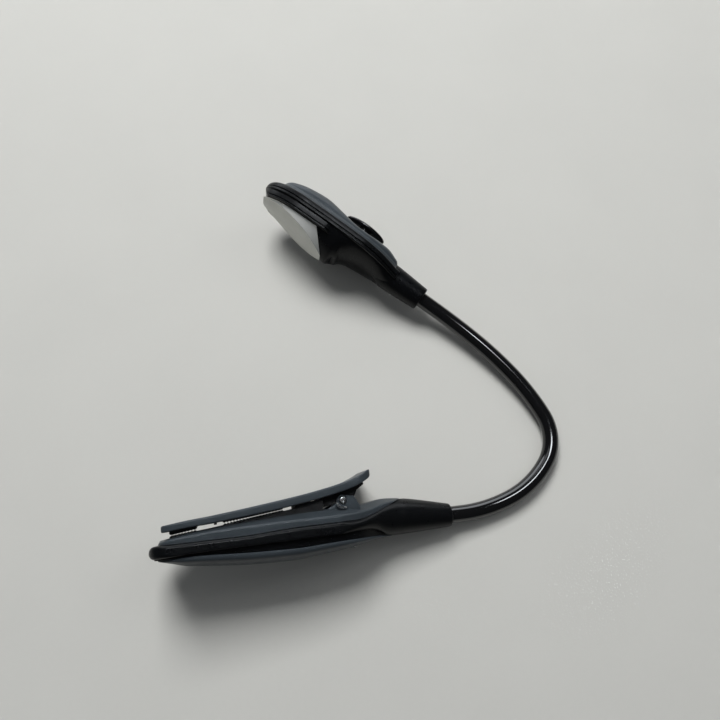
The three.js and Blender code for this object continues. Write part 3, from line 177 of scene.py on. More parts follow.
def resampled(line: Array, count: int, low: float = -math.inf, high: float = math.inf) -> Array:
    """Space points evenly along the part of one outline whose height lies between two levels.

    Args:
        line: the outline (points, (y, z)), whose y falls from its first point to its last.
        count: how many points to return.
        low: the level at which the part ends.
        high: the level at which the part starts.

    Returns:
        The points, of shape (count, 2).
    """
    y = line[:, 0]
    length = np.r_[0, np.cumsum(np.linalg.norm(np.diff(line, axis=0), axis=1))]
    start, end = 0.0, length[-1]
    under, over = np.flatnonzero(y <= high), np.flatnonzero(y >= low)
    if len(under) and under[0] > 0:
        i = under[0]
        start = length[i - 1] + (length[i] - length[i - 1]) * (y[i - 1] - high) / max(y[i - 1] - y[i], TINY)
    if len(over) and over[-1] < len(y) - 1:
        i = over[-1]
        end = length[i] + (length[i + 1] - length[i]) * (y[i] - low) / max(y[i] - y[i + 1], TINY)
    at = np.linspace(start, max(end, start + 1e-6), count)
    return np.stack([np.interp(at, length, line[:, 0]), np.interp(at, length, line[:, 1])], axis=-1)


def mirrored(half: Array) -> Array:
    """Close half outlines (stations, points, (y, z)) by their mirror image in z = 0."""
    other = half[:, ::-1] * (1, -1)
    return np.concatenate([half, other], axis=1)


def stretched(x: Array, outline: Array) -> Array:
    """Put outlines (stations, points, (y, z)) at their stations x, as (stations, points, 3)."""
    return np.concatenate([np.broadcast_to(x[:, None, None], (*outline.shape[:2], 1)), outline], axis=2)


# Frames


@dataclass(frozen=True)
class LocalFrame:
    """A sub-assembly's own frame, turned by yaw, pitch and roll in degrees.

    The place of one joint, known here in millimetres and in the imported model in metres, pins it down.
    """

    yaw: float
    pitch: float
    roll: float
    joint: str
    joint_place: tuple[float, float, float]

    def axes(self) -> Array:
        """Return the turn as Rz(yaw) Ry(pitch) Rx(roll), with the frame's axes as columns."""
        a, b, c = (math.radians(v) for v in (self.yaw, self.pitch, self.roll))
        rz = np.array([[math.cos(a), -math.sin(a), 0], [math.sin(a), math.cos(a), 0], [0, 0, 1]])
        ry = np.array([[math.cos(b), 0, math.sin(b)], [0, 1, 0], [-math.sin(b), 0, math.cos(b)]])
        rx = np.array([[1, 0, 0], [0, math.cos(c), -math.sin(c)], [0, math.sin(c), math.cos(c)]])
        return rz @ ry @ rx

    def place(self, points: Array) -> Array:
        """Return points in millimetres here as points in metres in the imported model's frame."""
        joint = next(j for j in frame["joints"] if j["name"] == self.joint)
        local = np.asarray(points, float) - self.joint_place
        return local @ self.axes().T * MM + np.array(joint["pos_m"])


# Finishes


class Nodes:
    """A material's node tree with short calls to add and join nodes."""

    def __init__(self, name: str) -> None:
        """Start a material of that name with its Principled shader."""
        self.material = bpy.data.materials.new(name)
        self.material.use_nodes = True
        self.tree = self.material.node_tree
        self.shader = self.tree.nodes["Principled BSDF"]
        self.place = self.add("ShaderNodeTexCoord").outputs["Object"]

    def add(self, kind: str, **inputs: object) -> bpy.types.Node:
        """Add a node and set its inputs by name, joining those that are sockets."""
        node = self.tree.nodes.new(kind)
        for key, value in inputs.items():
            self.set(node, key.replace("_", " ").title() if key.islower() else key, value)
        return node

    def set(self, node: bpy.types.Node, key: str, value: object) -> None:
        """Set one input to a value, or join it to a socket."""
        socket = node.inputs[key]
        if isinstance(value, bpy.types.NodeSocket):
            self.tree.links.new(value, socket)
        else:
            socket.default_value = value

    def noise(
        self, scale: float, detail: float, stretch: Sequence[float] = (1, 1, 1)
    ) -> bpy.types.NodeSocket:
        """Return a noise pattern's value on the object's own coordinates.

        Args:
            scale: how many bumps it has a metre.
            detail: how many finer layers it has.
            stretch: the scale's factor along each axis, under 1 where the bumps are drawn out.

        Returns:
            The socket of the value.
        """
        mapping = self.add("ShaderNodeMapping", vector=self.place, scale=tuple(stretch))
        noise = self.add("ShaderNodeTexNoise", vector=mapping.outputs[0], scale=scale, detail=detail)
        return noise.outputs[0]

    def ranged(
        self, value: bpy.types.NodeSocket, low: float, high: float, edges: tuple[float, float] = (0.3, 0.7)
    ) -> bpy.types.NodeSocket:
        """Return a value mapped from between two edges to between low and high."""
        node = self.add("ShaderNodeMapRange", value=value)
        spans = {"From Min": edges[0], "From Max": edges[1], "To Min": low, "To Max": high}
        for key, number in spans.items():
            node.inputs[key].default_value = number
        return node.outputs[0]

    def mixed(self, share: bpy.types.NodeSocket, first: object, second: object) -> bpy.types.NodeSocket:
        """Return one colour mixed into another by a share."""
        node = self.tree.nodes.new("ShaderNodeMix")
        node.data_type = "RGBA"
        for index, value in ((0, share), (6, first), (7, second)):
            if isinstance(value, bpy.types.NodeSocket):
                self.tree.links.new(value, node.inputs[index])
            else:
                node.inputs[index].default_value = value if index == 0 else (*value[:3], 1)
        return node.outputs[2]

    def bump(self, height: bpy.types.NodeSocket, depth: float, strength: float) -> None:
        """Raise the surface by a pattern of that depth in millimetres."""
        node = self.add("ShaderNodeBump", strength=strength, distance=depth * MM, height=height)
        self.set(self.shader, "Normal", node.outputs[0])


def tint(color: Sequence[float], factor: float) -> Color:
    """Return a colour made lighter or darker by a factor, kept within 1."""
    return tuple(min(1.0, c * factor) for c in color[:3])


@dataclass(frozen=True)
class Moulding:
    """Moulded plastic or rubber: mottled colour, a fine grain, handling marks and paler worn edges."""

    name: str
    slot: str
    color: Color
    roughness: float
    grain: float = 0.05  # millimetres between the grain's bumps
    grain_depth: float = 0.004
    wear: float = 0.12  # how much of the worn colour the edges take
    coat: float = 0.0
    specular: float = 0.5

    mottle_scale: ClassVar[float] = 90
    mottle: ClassVar[tuple[float, float]] = (0.9, 1.1)
    worn: ClassVar[float] = 2.2
    worn_pointiness: ClassVar[tuple[float, float]] = (0.51, 0.58)
    marks_scale: ClassVar[float] = 420
    marks_along: ClassVar[Color] = (1, 1, 0.12)
    marks: ClassVar[tuple[float, float]] = (0.85, 1.2)
    grain_strength: ClassVar[float] = 0.35
    coat_roughness: ClassVar[float] = 0.08

    def material(self) -> bpy.types.Material:
        """Build the material: noise mottles colour and gloss, a fine noise is the grain, and edges wear."""
        n = Nodes(self.name)
        cloud = n.ranged(n.noise(self.mottle_scale, 3), 0, 1)
        base = n.mixed(cloud, *(tint(self.color, factor) for factor in self.mottle))
        point = n.tree.nodes.new("ShaderNodeNewGeometry").outputs["Pointiness"]
        edge = n.ranged(point, 0, self.wear, self.worn_pointiness)
        n.set(n.shader, "Base Color", n.mixed(edge, base, tint(self.color, self.worn)))
        low, high = (min(1, self.roughness * factor) for factor in self.marks)
        n.set(n.shader, "Roughness", n.ranged(n.noise(self.marks_scale, 6, self.marks_along), low, high))
        n.bump(n.noise(1 / (self.grain * MM), 2), self.grain_depth, self.grain_strength)
        n.shader.inputs["Specular IOR Level"].default_value = self.specular
        n.shader.inputs["Coat Weight"].default_value = self.coat
        n.shader.inputs["Coat Roughness"].default_value = self.coat_roughness
        return n.material


@dataclass(frozen=True)
class Metal:
    """Plain metal with fine drawn marks along one direction and dull patches."""

    name: str
    slot: str
    color: Color
    roughness: float
    along: Color = (1, 1, 0.08)

    patch_scale: ClassVar[float] = 300
    dull: ClassVar[float] = 0.82
    score_scale: ClassVar[float] = 9000
    score: ClassVar[tuple[float, float]] = (0.7, 1.35)
    score_depth: ClassVar[float] = 0.003
    score_strength: ClassVar[float] = 0.25

    def material(self) -> bpy.types.Material:
        """Build the material: a stretched noise scores it and a slow one dulls it."""
        n = Nodes(self.name)
        score = n.noise(self.score_scale, 3, self.along)
        patch = n.ranged(n.noise(self.patch_scale, 3), 0, 1)
        n.set(n.shader, "Base Color", n.mixed(patch, tint(self.color, self.dull), self.color))
        low, high = (self.roughness * factor for factor in self.score)
        n.set(n.shader, "Roughness", n.ranged(score, low, high))
        n.bump(score, self.score_depth, self.score_strength)
        n.shader.inputs["Metallic"].default_value = 1.0
        return n.material


@dataclass(frozen=True)
class ClearPlastic:
    """Clear or frosted plastic: its tint and haze vary slightly over the surface."""

    name: str
    slot: str
    color: Color
    roughness: float
    transmission: float
    ripple: float = 0.003

    cloud_scale: ClassVar[float] = 160
    cloud: ClassVar[tuple[float, float]] = (0.94, 1.04)
    haze_scale: ClassVar[float] = 500
    haze: ClassVar[tuple[float, float]] = (0.8, 1.2)
    ripple_scale: ClassVar[float] = 1500
    ripple_strength: ClassVar[float] = 0.3
    index: ClassVar[float] = 1.49

    def material(self) -> bpy.types.Material:
        """Build the material: noise varies tint and haze, and a ripple bends what is seen through it."""
        n = Nodes(self.name)
        cloud = n.ranged(n.noise(self.cloud_scale, 4), 0, 1)
        n.set(n.shader, "Base Color", n.mixed(cloud, *(tint(self.color, factor) for factor in self.cloud)))
        low, high = (self.roughness * factor for factor in self.haze)
        n.set(n.shader, "Roughness", n.ranged(n.noise(self.haze_scale, 3), low, high))
        n.bump(n.noise(self.ripple_scale, 3), self.ripple, self.ripple_strength)
        n.shader.inputs["Transmission Weight"].default_value = self.transmission
        n.shader.inputs["IOR"].default_value = self.index
        return n.material


class Finish(Enum):
    """The finishes of the light, each with the record's slot that it belongs to."""

    BLACK = Moulding(
        "satin_black_moulding", "black_plastic", (0.0036, 0.004, 0.0046), 0.3,
        grain_depth=0.0015, wear=0.08, specular=0.16,
    )
    SLATE = Moulding(
        "slate_grey_moulding", "slate_plastic", (0.036, 0.044, 0.051), 0.34, wear=0.25, specular=0.3
    )
    NECK = Moulding(
        "neck_sleeve", "neck_gloss", (0.004, 0.004, 0.0045), 0.1,
        grain=0.6, grain_depth=0.001, wear=0.0, coat=0.3,
    )
    RUBBER = Moulding(
        "jaw_rubber_black", "jaw_rubber", (0.006, 0.006, 0.0065), 0.6, grain=0.03, grain_depth=0.006
    )
    BUTTON = Moulding(
        "button_black_gloss", "button_gloss", (0.006, 0.006, 0.0065), 0.16,
        grain=0.3, grain_depth=0.002, wear=0.05, coat=0.25,
    )
    WHITE = Moulding("reflector_white", "white_plastic", (0.75, 0.75, 0.71), 0.3)
    BOARD = Moulding("board_green_lacquer", "circuit_board", (0.02, 0.12, 0.05), 0.35)
    SWITCH = Moulding("switch_black", "switch_plastic", (0.03, 0.03, 0.03), 0.5)
    LEADS = Moulding("lead_red_insulation", "lead_insulation", (0.25, 0.03, 0.02), 0.45)
    STEEL = Metal("pin_and_screw_steel", "steel", (0.78, 0.79, 0.8), 0.24)
    CELL = Metal("cell_can_steel", "cell_steel", (0.66, 0.67, 0.68), 0.22)
    BRASS = Metal("contact_brass", "brass", (0.62, 0.45, 0.18), 0.3)
    LENS_WALL = ClearPlastic("lens_clear_wall", "lens_clear", (0.84, 0.86, 0.84), 0.22, 0.5, 0.001)
    LENS_FACE = ClearPlastic("lens_frosted_face", "lens_clear", (0.8, 0.8, 0.74), 0.5, 0.15, 0.001)
    LED = ClearPlastic("led_epoxy_clear", "led_epoxy", (0.85, 0.72, 0.3), 0.12, 0.7)

    def build(self) -> bpy.types.Material:
        """Return this finish's material, made once."""
        found = bpy.data.materials.get(self.value.name)
        return found or self.value.material()


# Meshes


def outwards(work: bmesh.types.BMesh) -> None:
    """Turn a closed mesh's faces outwards, which its signed volume confirms."""
    bmesh.ops.recalc_face_normals(work, faces=work.faces)
    if work.calc_volume(signed=True) < 0:
        bmesh.ops.reverse_faces(work, faces=work.faces)


def finished(
    name: str,
    mesh: bpy.types.Mesh,
    finish: Finish,
    body: str,
    nodes: Iterable[str] = (),
    sharp: float = 32.0,
) -> bpy.types.Object:
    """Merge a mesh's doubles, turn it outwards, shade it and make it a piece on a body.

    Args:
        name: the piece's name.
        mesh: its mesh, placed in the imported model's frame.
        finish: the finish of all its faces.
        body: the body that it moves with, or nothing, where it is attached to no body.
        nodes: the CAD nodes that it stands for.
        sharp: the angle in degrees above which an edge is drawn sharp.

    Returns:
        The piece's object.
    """
    work = bmesh.new()
    work.from_mesh(mesh)
    bmesh.ops.remove_doubles(work, verts=work.verts, dist=MERGE)
    bmesh.ops.dissolve_degenerate(work, edges=work.edges, dist=MERGE / 2)
    outwards(work)
    work.to_mesh(mesh)
    work.free()
    mesh.shade_smooth()
    mesh.set_sharp_from_angle(angle=math.radians(sharp))
    piece = bpy.data.objects.new(name, mesh)
    bpy.context.scene.collection.objects.link(piece)
    mesh.materials.clear()
    mesh.materials.append(finish.build())
    if body:
        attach(piece, body)
    if nodes:
        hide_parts(*nodes)
    log.info("%s: %d faces on %s", name, len(mesh.polygons), body or "two bodies")
    return piece


def surface(name: str, points: Array, where: LocalFrame | None, torus: bool = False) -> bpy.types.Mesh:
    """Join a grid of points into a closed mesh of quads: each row is a ring, and the end rows are capped.

    Args:
        name: the mesh's name.
        points: a grid of shape (rows, columns, 3), in a local frame's millimetres or the model's metres.
        where: the local frame, or None for points that are placed already.
        torus: whether the last row joins the first one instead of the caps.

    Returns:
        The mesh.
    """
    rows, columns = points.shape[:2]
    flat = points.reshape(-1, 3)
    verts = flat if where is None else where.place(flat)
    index = np.arange(rows * columns).reshape(rows, columns)
    near = np.concatenate([index, index[:1]]) if torus else index
    near = np.concatenate([near, near[:, :1]], axis=1)
    quads = np.stack([near[:-1, :-1], near[:-1, 1:], near[1:, 1:], near[1:, :-1]], -1).reshape(-1, 4)
    faces = quads.tolist()
    if not torus:
        faces += [index[0][::-1].tolist(), index[-1].tolist()]
    mesh = bpy.data.meshes.new(name)
    mesh.from_pydata(verts.tolist(), [], faces)
    return mesh


def extruded(outline: Array, low: float, high: float, edge: float, steps: int = 4) -> Array:
    """Extrude an outline between two heights and round its edges.

    The rows run from one face out over a quarter round, along the side, and back in over a quarter round to
    the other face. Each row is the outline drawn towards its own middle, from which it has to be seen whole.

    Args:
        outline: the outline, of shape (points, (x, y)).
        low: the height z of the lower face.
        high: the height z of the upper face.
        edge: the radius of the rounded edges.
        steps: how many steps each quarter round has.

    Returns:
        The grid, of shape (rows, points, 3).
    """
    most = 0.9
    middle = outline.mean(axis=0)
    out = outline - middle
    reach = np.linalg.norm(out, axis=1, keepdims=True)
    t = np.linspace(0, QUARTER, steps + 1)
    inset = np.r_[edge * (1 - np.sin(t)), edge * (1 - np.cos(t))]
    height = np.r_[low + edge * (1 - np.cos(t)), high - edge * (1 - np.sin(t))]
    rows = [middle + out * (1 - np.minimum(i / reach, most)) for i in inset]
    return np.stack([np.c_[row, np.full(len(row), z)] for row, z in zip(rows, height)])


def wire(points: Array, radius: float, sides: int = 12, blunt: float = 1.0) -> Array:
    """Carry a circle along a line of points, with a normal that turns no more than the line does.

    Args:
        points: the line, of shape (points, 3).
        radius: the circle's radius.
        sides: how many points the circle has.
        blunt: the size of the circles at both ends, as a share of the radius.

    Returns:
        The grid, of shape (points, sides, 3).
    """
    along = np.gradient(points, axis=0)
    along /= np.linalg.norm(along, axis=1, keepdims=True)
    normal = np.cross(along[0], (0.3, 0.5, 0.8))
    normals = []
    for direction in along:
        normal = normal - direction * (normal @ direction)
        normal = normal / np.linalg.norm(normal)
        normals.append(normal)
    normals = np.array(normals)
    side = np.cross(along, normals)
    turn = np.linspace(0, ROUND, sides, endpoint=False)[None, :, None]
    ring = normals[:, None] * np.cos(turn) + side[:, None] * np.sin(turn)
    size = np.full(len(points), radius)
    size[[0, -1]] *= blunt
    return points[:, None] + ring * size[:, None, None]


def turned(profile: Sequence[tuple[float, float]], centre: tuple[float, float], sides: int = 48) -> Array:
    """Return a turned piece's grid about a line along z: profile points are (z, radius)."""
    turn = np.linspace(0, ROUND, sides, endpoint=False)
    z, radius = np.array(profile, float).T
    x = centre[0] + radius[:, None] * np.cos(turn)
    y = centre[1] + radius[:, None] * np.sin(turn)
    return np.stack([x, y, np.broadcast_to(z[:, None], x.shape)], axis=-1)


def dense(outline: Array, count: int) -> Array:
    """Return count points evenly spaced along a closed outline (points, 2)."""
    closed = np.concatenate([outline, outline[:1]])
    length = np.r_[0, np.cumsum(np.linalg.norm(np.diff(closed, axis=0), axis=1))]
    at = np.linspace(0, length[-1], count, endpoint=False)
    return np.stack([np.interp(at, length, closed[:, 0]), np.interp(at, length, closed[:, 1])], axis=-1)


def carve(piece: bpy.types.Object, mesh: bpy.types.Mesh, sharp: float = 32.0) -> None:
    """Cut a closed mesh out of a piece.

    Args:
        piece: the piece that is cut.
        mesh: the closed mesh that is taken away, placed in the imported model's frame.
        sharp: the angle in degrees above which an edge of the result is drawn sharp.
    """
    cutter = bpy.data.objects.new(mesh.name, mesh)
    bpy.context.scene.collection.objects.link(cutter)
    work = bmesh.new()
    work.from_mesh(mesh)
    bmesh.ops.remove_doubles(work, verts=work.verts, dist=MERGE)
    outwards(work)
    work.to_mesh(mesh)
    work.free()
    cut = piece.modifiers.new("cut", "BOOLEAN")
    cut.operation, cut.object, cut.solver = "DIFFERENCE", cutter, "EXACT"
    graph = bpy.context.evaluated_depsgraph_get()
    result = bpy.data.meshes.new_from_object(piece.evaluated_get(graph))
    piece.modifiers.clear()
    result.name = piece.data.name + "_cut"
    piece.data = result
    result.shade_smooth()
    result.set_sharp_from_angle(angle=math.radians(sharp))
    bpy.data.objects.remove(cutter)


# The clip


@dataclass
class Clip:
    """The clip's base: rim and collar, plate, battery cover, ears, pin and spring. Sizes in millimetres.

    Its frame has x from the nose, y = 0 and z = 0 on the neck's axis, and the jaw towards +y.
    """

    length: float = 95.6
    width: float = 25.0
    nose_radius: float = 6.0
    nose_depth: float = 2.1  # how far back from the nose the rim's section grows to its full height
    nose_middle: float = -0.6
    straight_share: float = 0.6
    collar_share: float = 0.828
    collar_half: float = 6.2
    keel: float = 4.0
    crest: float = 7.6
    end_radius: float = 3.7
    end_edge: float = 0.6
    bore_lip: float = 0.15
    bore_depth: float = 2.5
    rim_edge: float = 1.1
    rim_low_edge: float = 0.4
    nose_low_edge: float = 1.1
    neck_height: float = 0.4
    neck_radius: float = 2.7
    neck_gap: float = 0.12
    seam_rise: float = 7.4
    seam_gap: float = 0.12
    least_strip: float = 0.03  # what the seam leaves of the rim's top at the least
    groove: float = 1.4
    groove_drop: float = 3.6
    band_inset: float = 0.3
    band_edge: float = 0.2
    band_end_share: float = 0.775
    band_pinch: float = 2.5
    band_pinch_length: float = 14.0
    band_lift: float = 0.02
    plate_start: float = 2.7
    plate_inset: float = 1.8
    plate_corner: float = 5.0
    plate_height: float = 6.7
    plate_front_edge: float = 0.8
    plate_foot: float = 3.0
    plate_end_gap: float = 0.05
    ridge_height: float = 4.3
    ridge_drop: float = 0.12
    ridge_edge: float = 0.45
    shoulder: float = 3.6
    shoulder_edge: float = 0.5
    cover_setback: float = 1.2
    cover_end_share: float = 0.782
    cover_depth: float = 3.9
    cover_inset: float = 1.2
    cover_gap: float = 0.06
    cover_lip: float = 0.45
    cover_rim: float = 0.2
    cover_power: float = 2.3
    seat_radius: float = 2.3
    seat_rise: float = 1.2
    pin_share: float = 0.617
    pin_height: float = 8.85
    pin_end: float = 8.7
    pin_radius: float = 1.0
    pin_hollow: float = 0.55
    pin_hollow_depth: float = 1.0
    pin_edge: float = 0.16
    ear_inner: float = 5.8
    ear_thickness: float = 2.2
    ear_round: float = 1.75
    ear_edge: float = 0.35
    ear_hole: float = 1.3
    ear_root: float = 2.6
    wire_radius: float = 0.4
    coil_radius: float = 2.2
    coil_pitch: float = 1.3
    coil_turns: float = 3.5
    hook_radius: float = 2.35
    hook_gap: float = 0.25
    leg_reach: float = 5.2
    leg_gap: float = 0.25

    low_line: ClassVar[Shares] = (
        (0, 0.58), (0.045, 0.53), (0.14, 0.4), (0.3, 0.36), (0.62, 0.3), (0.69, 0.31), (0.73, 0.52),
        (0.76, 0.84), (0.79, 0.96), (0.9, 0.92), (1, 0.825),
    )
    high_line: ClassVar[Shares] = (
        (0.3, 0.205), (0.44, 0.29), (0.63, 0.33), (0.68, 0.46), (0.73, 0.74), (0.78, 0.97), (0.83, 1),
        (1, 0.54),
    )
    seam_line: ClassVar[Shares] = (
        (0.31, 0.21), (0.44, 0.3), (0.63, 0.325), (0.67, 0.345), (0.717, 0.49), (0.76, 0.7), (0.81, 0.96),
        (0.828, 1),
    )
    groove_line: ClassVar[Shares] = (
        (0.03, 0.72), (0.14, 0.67), (0.3, 0.92), (0.41, 1.02), (0.47, 1.05), (0.53, 0.98), (0.6, 0.91),
        (0.67, 0.88), (0.73, 0.89), (0.765, 0.94), (0.79, 1.04),
    )
    plate_line: ClassVar[Shares] = (
        (0.03, 0.43), (0.06, 0.5), (0.15, 0.7), (0.31, 0.87), (0.47, 0.98), (0.57, 1), (0.68, 1.04),
        (0.755, 1.2), (0.81, 1.16), (0.828, 1.12),
    )
    ridge_line: ClassVar[Shares] = (
        (0.03, 0.53), (0.09, 0.75), (0.22, 0.95), (0.4, 1.02), (0.63, 1.01), (0.7, 1.15), (0.76, 1.5),
        (0.828, 1.65),
    )
    cover_depths: ClassVar[Shares] = (
        (0, 0.12), (0.05, 0.4), (0.12, 0.78), (0.3, 0.97), (0.45, 1), (0.6, 0.95), (0.78, 0.75), (0.9, 0.42),
        (1, 0.08),
    )
    cover_halves: ClassVar[Shares] = (
        (0, 0.72), (0.04, 0.9), (0.1, 0.98), (0.2, 1), (0.72, 1), (0.85, 0.9), (0.94, 0.66), (1, 0.3),
    )

    def __post_init__(self) -> None:
        """Work out the frame and the curves that the pieces share."""
        self.pin_x = self.pin_share * self.length
        self.straight_end = self.straight_share * self.length
        self.collar_start = self.collar_share * self.length
        self.where = LocalFrame(0.0, 10.1, 8.3, "lever_hinge", (self.pin_x, self.pin_height, 0.0))
        self.low = Profile(self.low_line, self.length, -self.keel)
        self.high = Profile(self.high_line, self.length, self.crest)
        self.seam = Profile(self.seam_line, self.length, self.seam_rise)
        self.groove_low = Profile(self.groove_line, self.length, -self.groove_drop)
        self.plate_top = Profile(self.plate_line, self.length, self.plate_height)
        self.ridge = Profile(self.ridge_line, self.length, self.ridge_height)

    def half(self, x: Array) -> Array:
        """Return half the rim's width: round nose corners, straight sides, and a waist down to the collar."""
        ahead = np.clip(self.nose_radius - x, 0, self.nose_radius)
        corner = self.nose_radius - np.sqrt(self.nose_radius**2 - ahead**2)
        t = np.clip((x - self.straight_end) / (self.collar_start - self.straight_end), 0, 1)
        waist = (self.width / 2 - self.collar_half) * (1 - np.cos(t * math.pi)) / 2
        taper = np.clip((x - self.collar_start) / (self.length - self.collar_start), 0, 1)
        return self.width / 2 - corner - waist + (self.end_radius - self.collar_half) * taper

    def stations(self, start: float, end: float, step: float, turn: float) -> Array:
        """Return stations from start to end, crowded over the first stretch so that it turns in evenly."""
        t = np.linspace(0, QUARTER, 14)
        plain = np.linspace(start + turn, end, max(3, int((end - start - turn) / step)))
        return np.r_[start + turn * (1 - np.cos(t)), plain[1:]]

    def outer(self, x: Array) -> Array:
        """Return the whole outer half outlines of rim and collar, before the seam cuts them.

        Each is a rectangle between the high and the low line with two rounded corners. Towards the collar
        their radii grow until the rectangle is an ellipse.
        """
        nose_end = (2, 9)
        blend = np.clip((x - self.straight_end) / (self.collar_start - self.straight_end), 0, 1)
        high, low, half = self.high(x), self.low(x), self.half(x)
        corners = column(high, high, low, low)
        z = column(0 * x, half, half, 0 * x)
        outline = np.stack([corners, z], axis=-1)
        most = np.maximum(half, (high - low) / 2)
        low_edge = self.rim_low_edge + self.nose_low_edge * (1 - ease(x, *nose_end))
        top = self.rim_edge + blend * (most - self.rim_edge)
        bottom = low_edge + blend * (most - self.rim_low_edge)
        return rounded(outline, [0, top, bottom, 0], 24)

    def shell(self) -> None:
        """Rim and collar in one: the outer outline cut along the seam, swept from nose to collar end.

        Over the nose the section shrinks towards its middle by the root of 1 - a^2.2, with a from 1 at the
        tip to 0, and at the other end its rings shrink over a rounded edge and turn into the neck's bore.
        """
        power, count = 2.2, 72
        x = self.stations(0.0, self.length - self.end_edge, 0.6, self.nose_depth)
        cut = np.minimum(self.seam(x), self.high(x) - self.least_strip)
        halves = np.stack([resampled(line, count, high=top) for line, top in zip(self.outer(x), cut)])
        seat = halves[:, :1] * (1, 0)
        halves = np.concatenate([seat, halves], axis=1)
        ahead = np.clip(1 - x / self.nose_depth, 0, 1)
        shrink = np.sqrt(np.maximum(1 - ahead**power, 0.0))[:, None]
        halves[..., 0] = self.nose_middle + (halves[..., 0] - self.nose_middle) * shrink
        rings = stretched(x, mirrored(halves))
        centre = np.array([0, self.neck_height, 0])
        flat = rings[-1] * (0, 1, 1)
        tail = [centre + (flat - centre) * size + (along, 0, 0) for along, size in self.collar_end()]
        rings = np.concatenate([rings, np.stack(tail)])
        mesh = surface("base_shell", rings, self.where)
        finished("base_shell", mesh, Finish.BLACK, "clip", ["base_housing"])

    def collar_end(self) -> list[tuple[float, float]]:
        """Return (x, size) of the rings that round the collar's end and turn into the hole round the neck."""
        radius, edge = self.end_radius, self.end_edge
        hole, flare = (self.neck_radius + self.neck_gap) / radius, 0.02
        rings = []
        for angle in np.radians((25, 50, 72, 90)):
            along = self.length - edge * (1 - math.sin(angle))
            rings.append((along, 1 - edge * (1 - math.cos(angle)) / radius))
        bore = [(self.length - self.bore_lip, hole), (self.length - self.bore_depth, hole)]
        return [*rings, (self.length, hole + flare), *bore]

    def band(self) -> None:
        """The narrower band under the rim that makes the dark groove over the battery cover."""
        start, end = self.groove + self.band_inset, self.band_end_share * self.length
        x = self.stations(start, end, 1.0, 1.6)
        pinch = self.band_pinch * ease(x, end - self.band_pinch_length, end)
        half = self.half(x) - self.groove - self.band_inset - pinch
        low, high = self.groove_low(x) + self.band_lift, (self.low(x) + self.high(x)) / 2
        outline = np.stack([column(high, high, low, low), column(0 * x, half, half, 0 * x)], axis=-1)
        rings = stretched(x, mirrored(rounded(outline, [0, 0, self.band_edge, 0], 4)))
        finished("base_groove_band", surface("base_groove_band", rings, self.where), Finish.BLACK, "clip")

    def plate(self) -> None:
        """The grey plate on the rim: wall, ridge, sloped shoulder and flat top, ending along the seam.

        Its half outline runs from the flat top's middle over the shoulder and the ridge down the wall, and
        stops where the seam cuts it. At the front its height over the seam rises as a quarter circle.
        """
        least_rise, count = 0.12, 56
        start, front = self.plate_start, self.plate_corner
        x = self.stations(start, self.collar_start - self.plate_end_gap, 0.6, 1.2)
        ahead = np.clip(start + front - x, 0, front)
        corner = front - np.sqrt(front**2 - ahead**2)
        half = self.half(np.maximum(x, self.nose_radius)) - self.plate_inset - corner
        top = self.plate_top(x)
        ridge = np.minimum(self.ridge(x), top - self.ridge_drop)
        flat = np.maximum(half - self.shoulder, half / 3)
        low = self.seam(x) + self.seam_gap
        foot = np.minimum(low, ridge) - self.plate_foot
        outline = np.stack([column(top, top, ridge, foot), column(0 * x, flat, half, half)], axis=-1)
        full = rounded(outline, [0, self.shoulder_edge, self.ridge_edge, 0], 8)
        halves = np.stack([resampled(line, count, low=y) for line, y in zip(full, low)])
        seat = np.stack([low, 0 * low], axis=-1)[:, None]
        halves = np.concatenate([halves, seat], axis=1)
        before = np.clip(1 - (x - start) / self.plate_front_edge, 0, 1)
        rise = np.sqrt(np.clip(1 - before**2, least_rise, 1))[:, None]
        floor = low[:, None]
        halves[..., 0] = floor + (halves[..., 0] - floor) * rise
        rings = stretched(x, mirrored(halves))
        finished("base_plate", surface("base_plate", rings, self.where), Finish.SLATE, "clip", ["clip_plate"])

    def battery_cover(self) -> None:
        """The dome over the cells: a short wall at its edge, then an arch down to its depth."""
        start, end = self.groove + self.cover_setback, self.cover_end_share * self.length
        x = self.stations(start, end, 0.8, 1.5)
        share = (x - start) / (end - start)
        depth = Profile(self.cover_depths, 1, self.cover_depth)(share)
        half = (self.half(x) - self.cover_inset) * Profile(self.cover_halves)(share)
        edge = self.groove_low(x) - self.cover_gap
        lip = np.minimum(self.cover_lip, depth / 2)
        dome = arch(half, edge - lip, -(depth - lip), self.cover_power)
        levels, sides = column(edge, edge, edge - lip / 2), column(0 * x, half - self.cover_rim, half)
        rim = np.stack([levels, sides], axis=-1)
        rings = stretched(x, mirrored(np.concatenate([rim, dome], axis=1)))
        mesh = surface("battery_door", rings, self.where)
        piece = finished("battery_door", mesh, Finish.SLATE, "clip", ["battery_cover"])
        self.screw_seat(piece)

    def screw_seat(self, piece: bpy.types.Object) -> None:
        """Cut the round seat of the battery cover's screw into the dome."""
        low, high = (np.array(v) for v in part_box("battery_cover_screw"))
        middle = self.where.axes().T @ ((low + high) / 2 - self.where.place(np.zeros(3))) / MM
        above, below, radius = -1.0, 8.0, self.seat_radius
        profile = [(above, ON_AXIS), (above, radius), (below, radius), (below, ON_AXIS)]
        across, along, down = np.moveaxis(turned(profile, (0.0, 0.0), 40), -1, 0)
        grid = np.stack([across + middle[0], middle[1] + self.seat_rise - down, along + middle[2]], axis=-1)
        carve(piece, surface("screw_seat_cutter", grid, self.where))

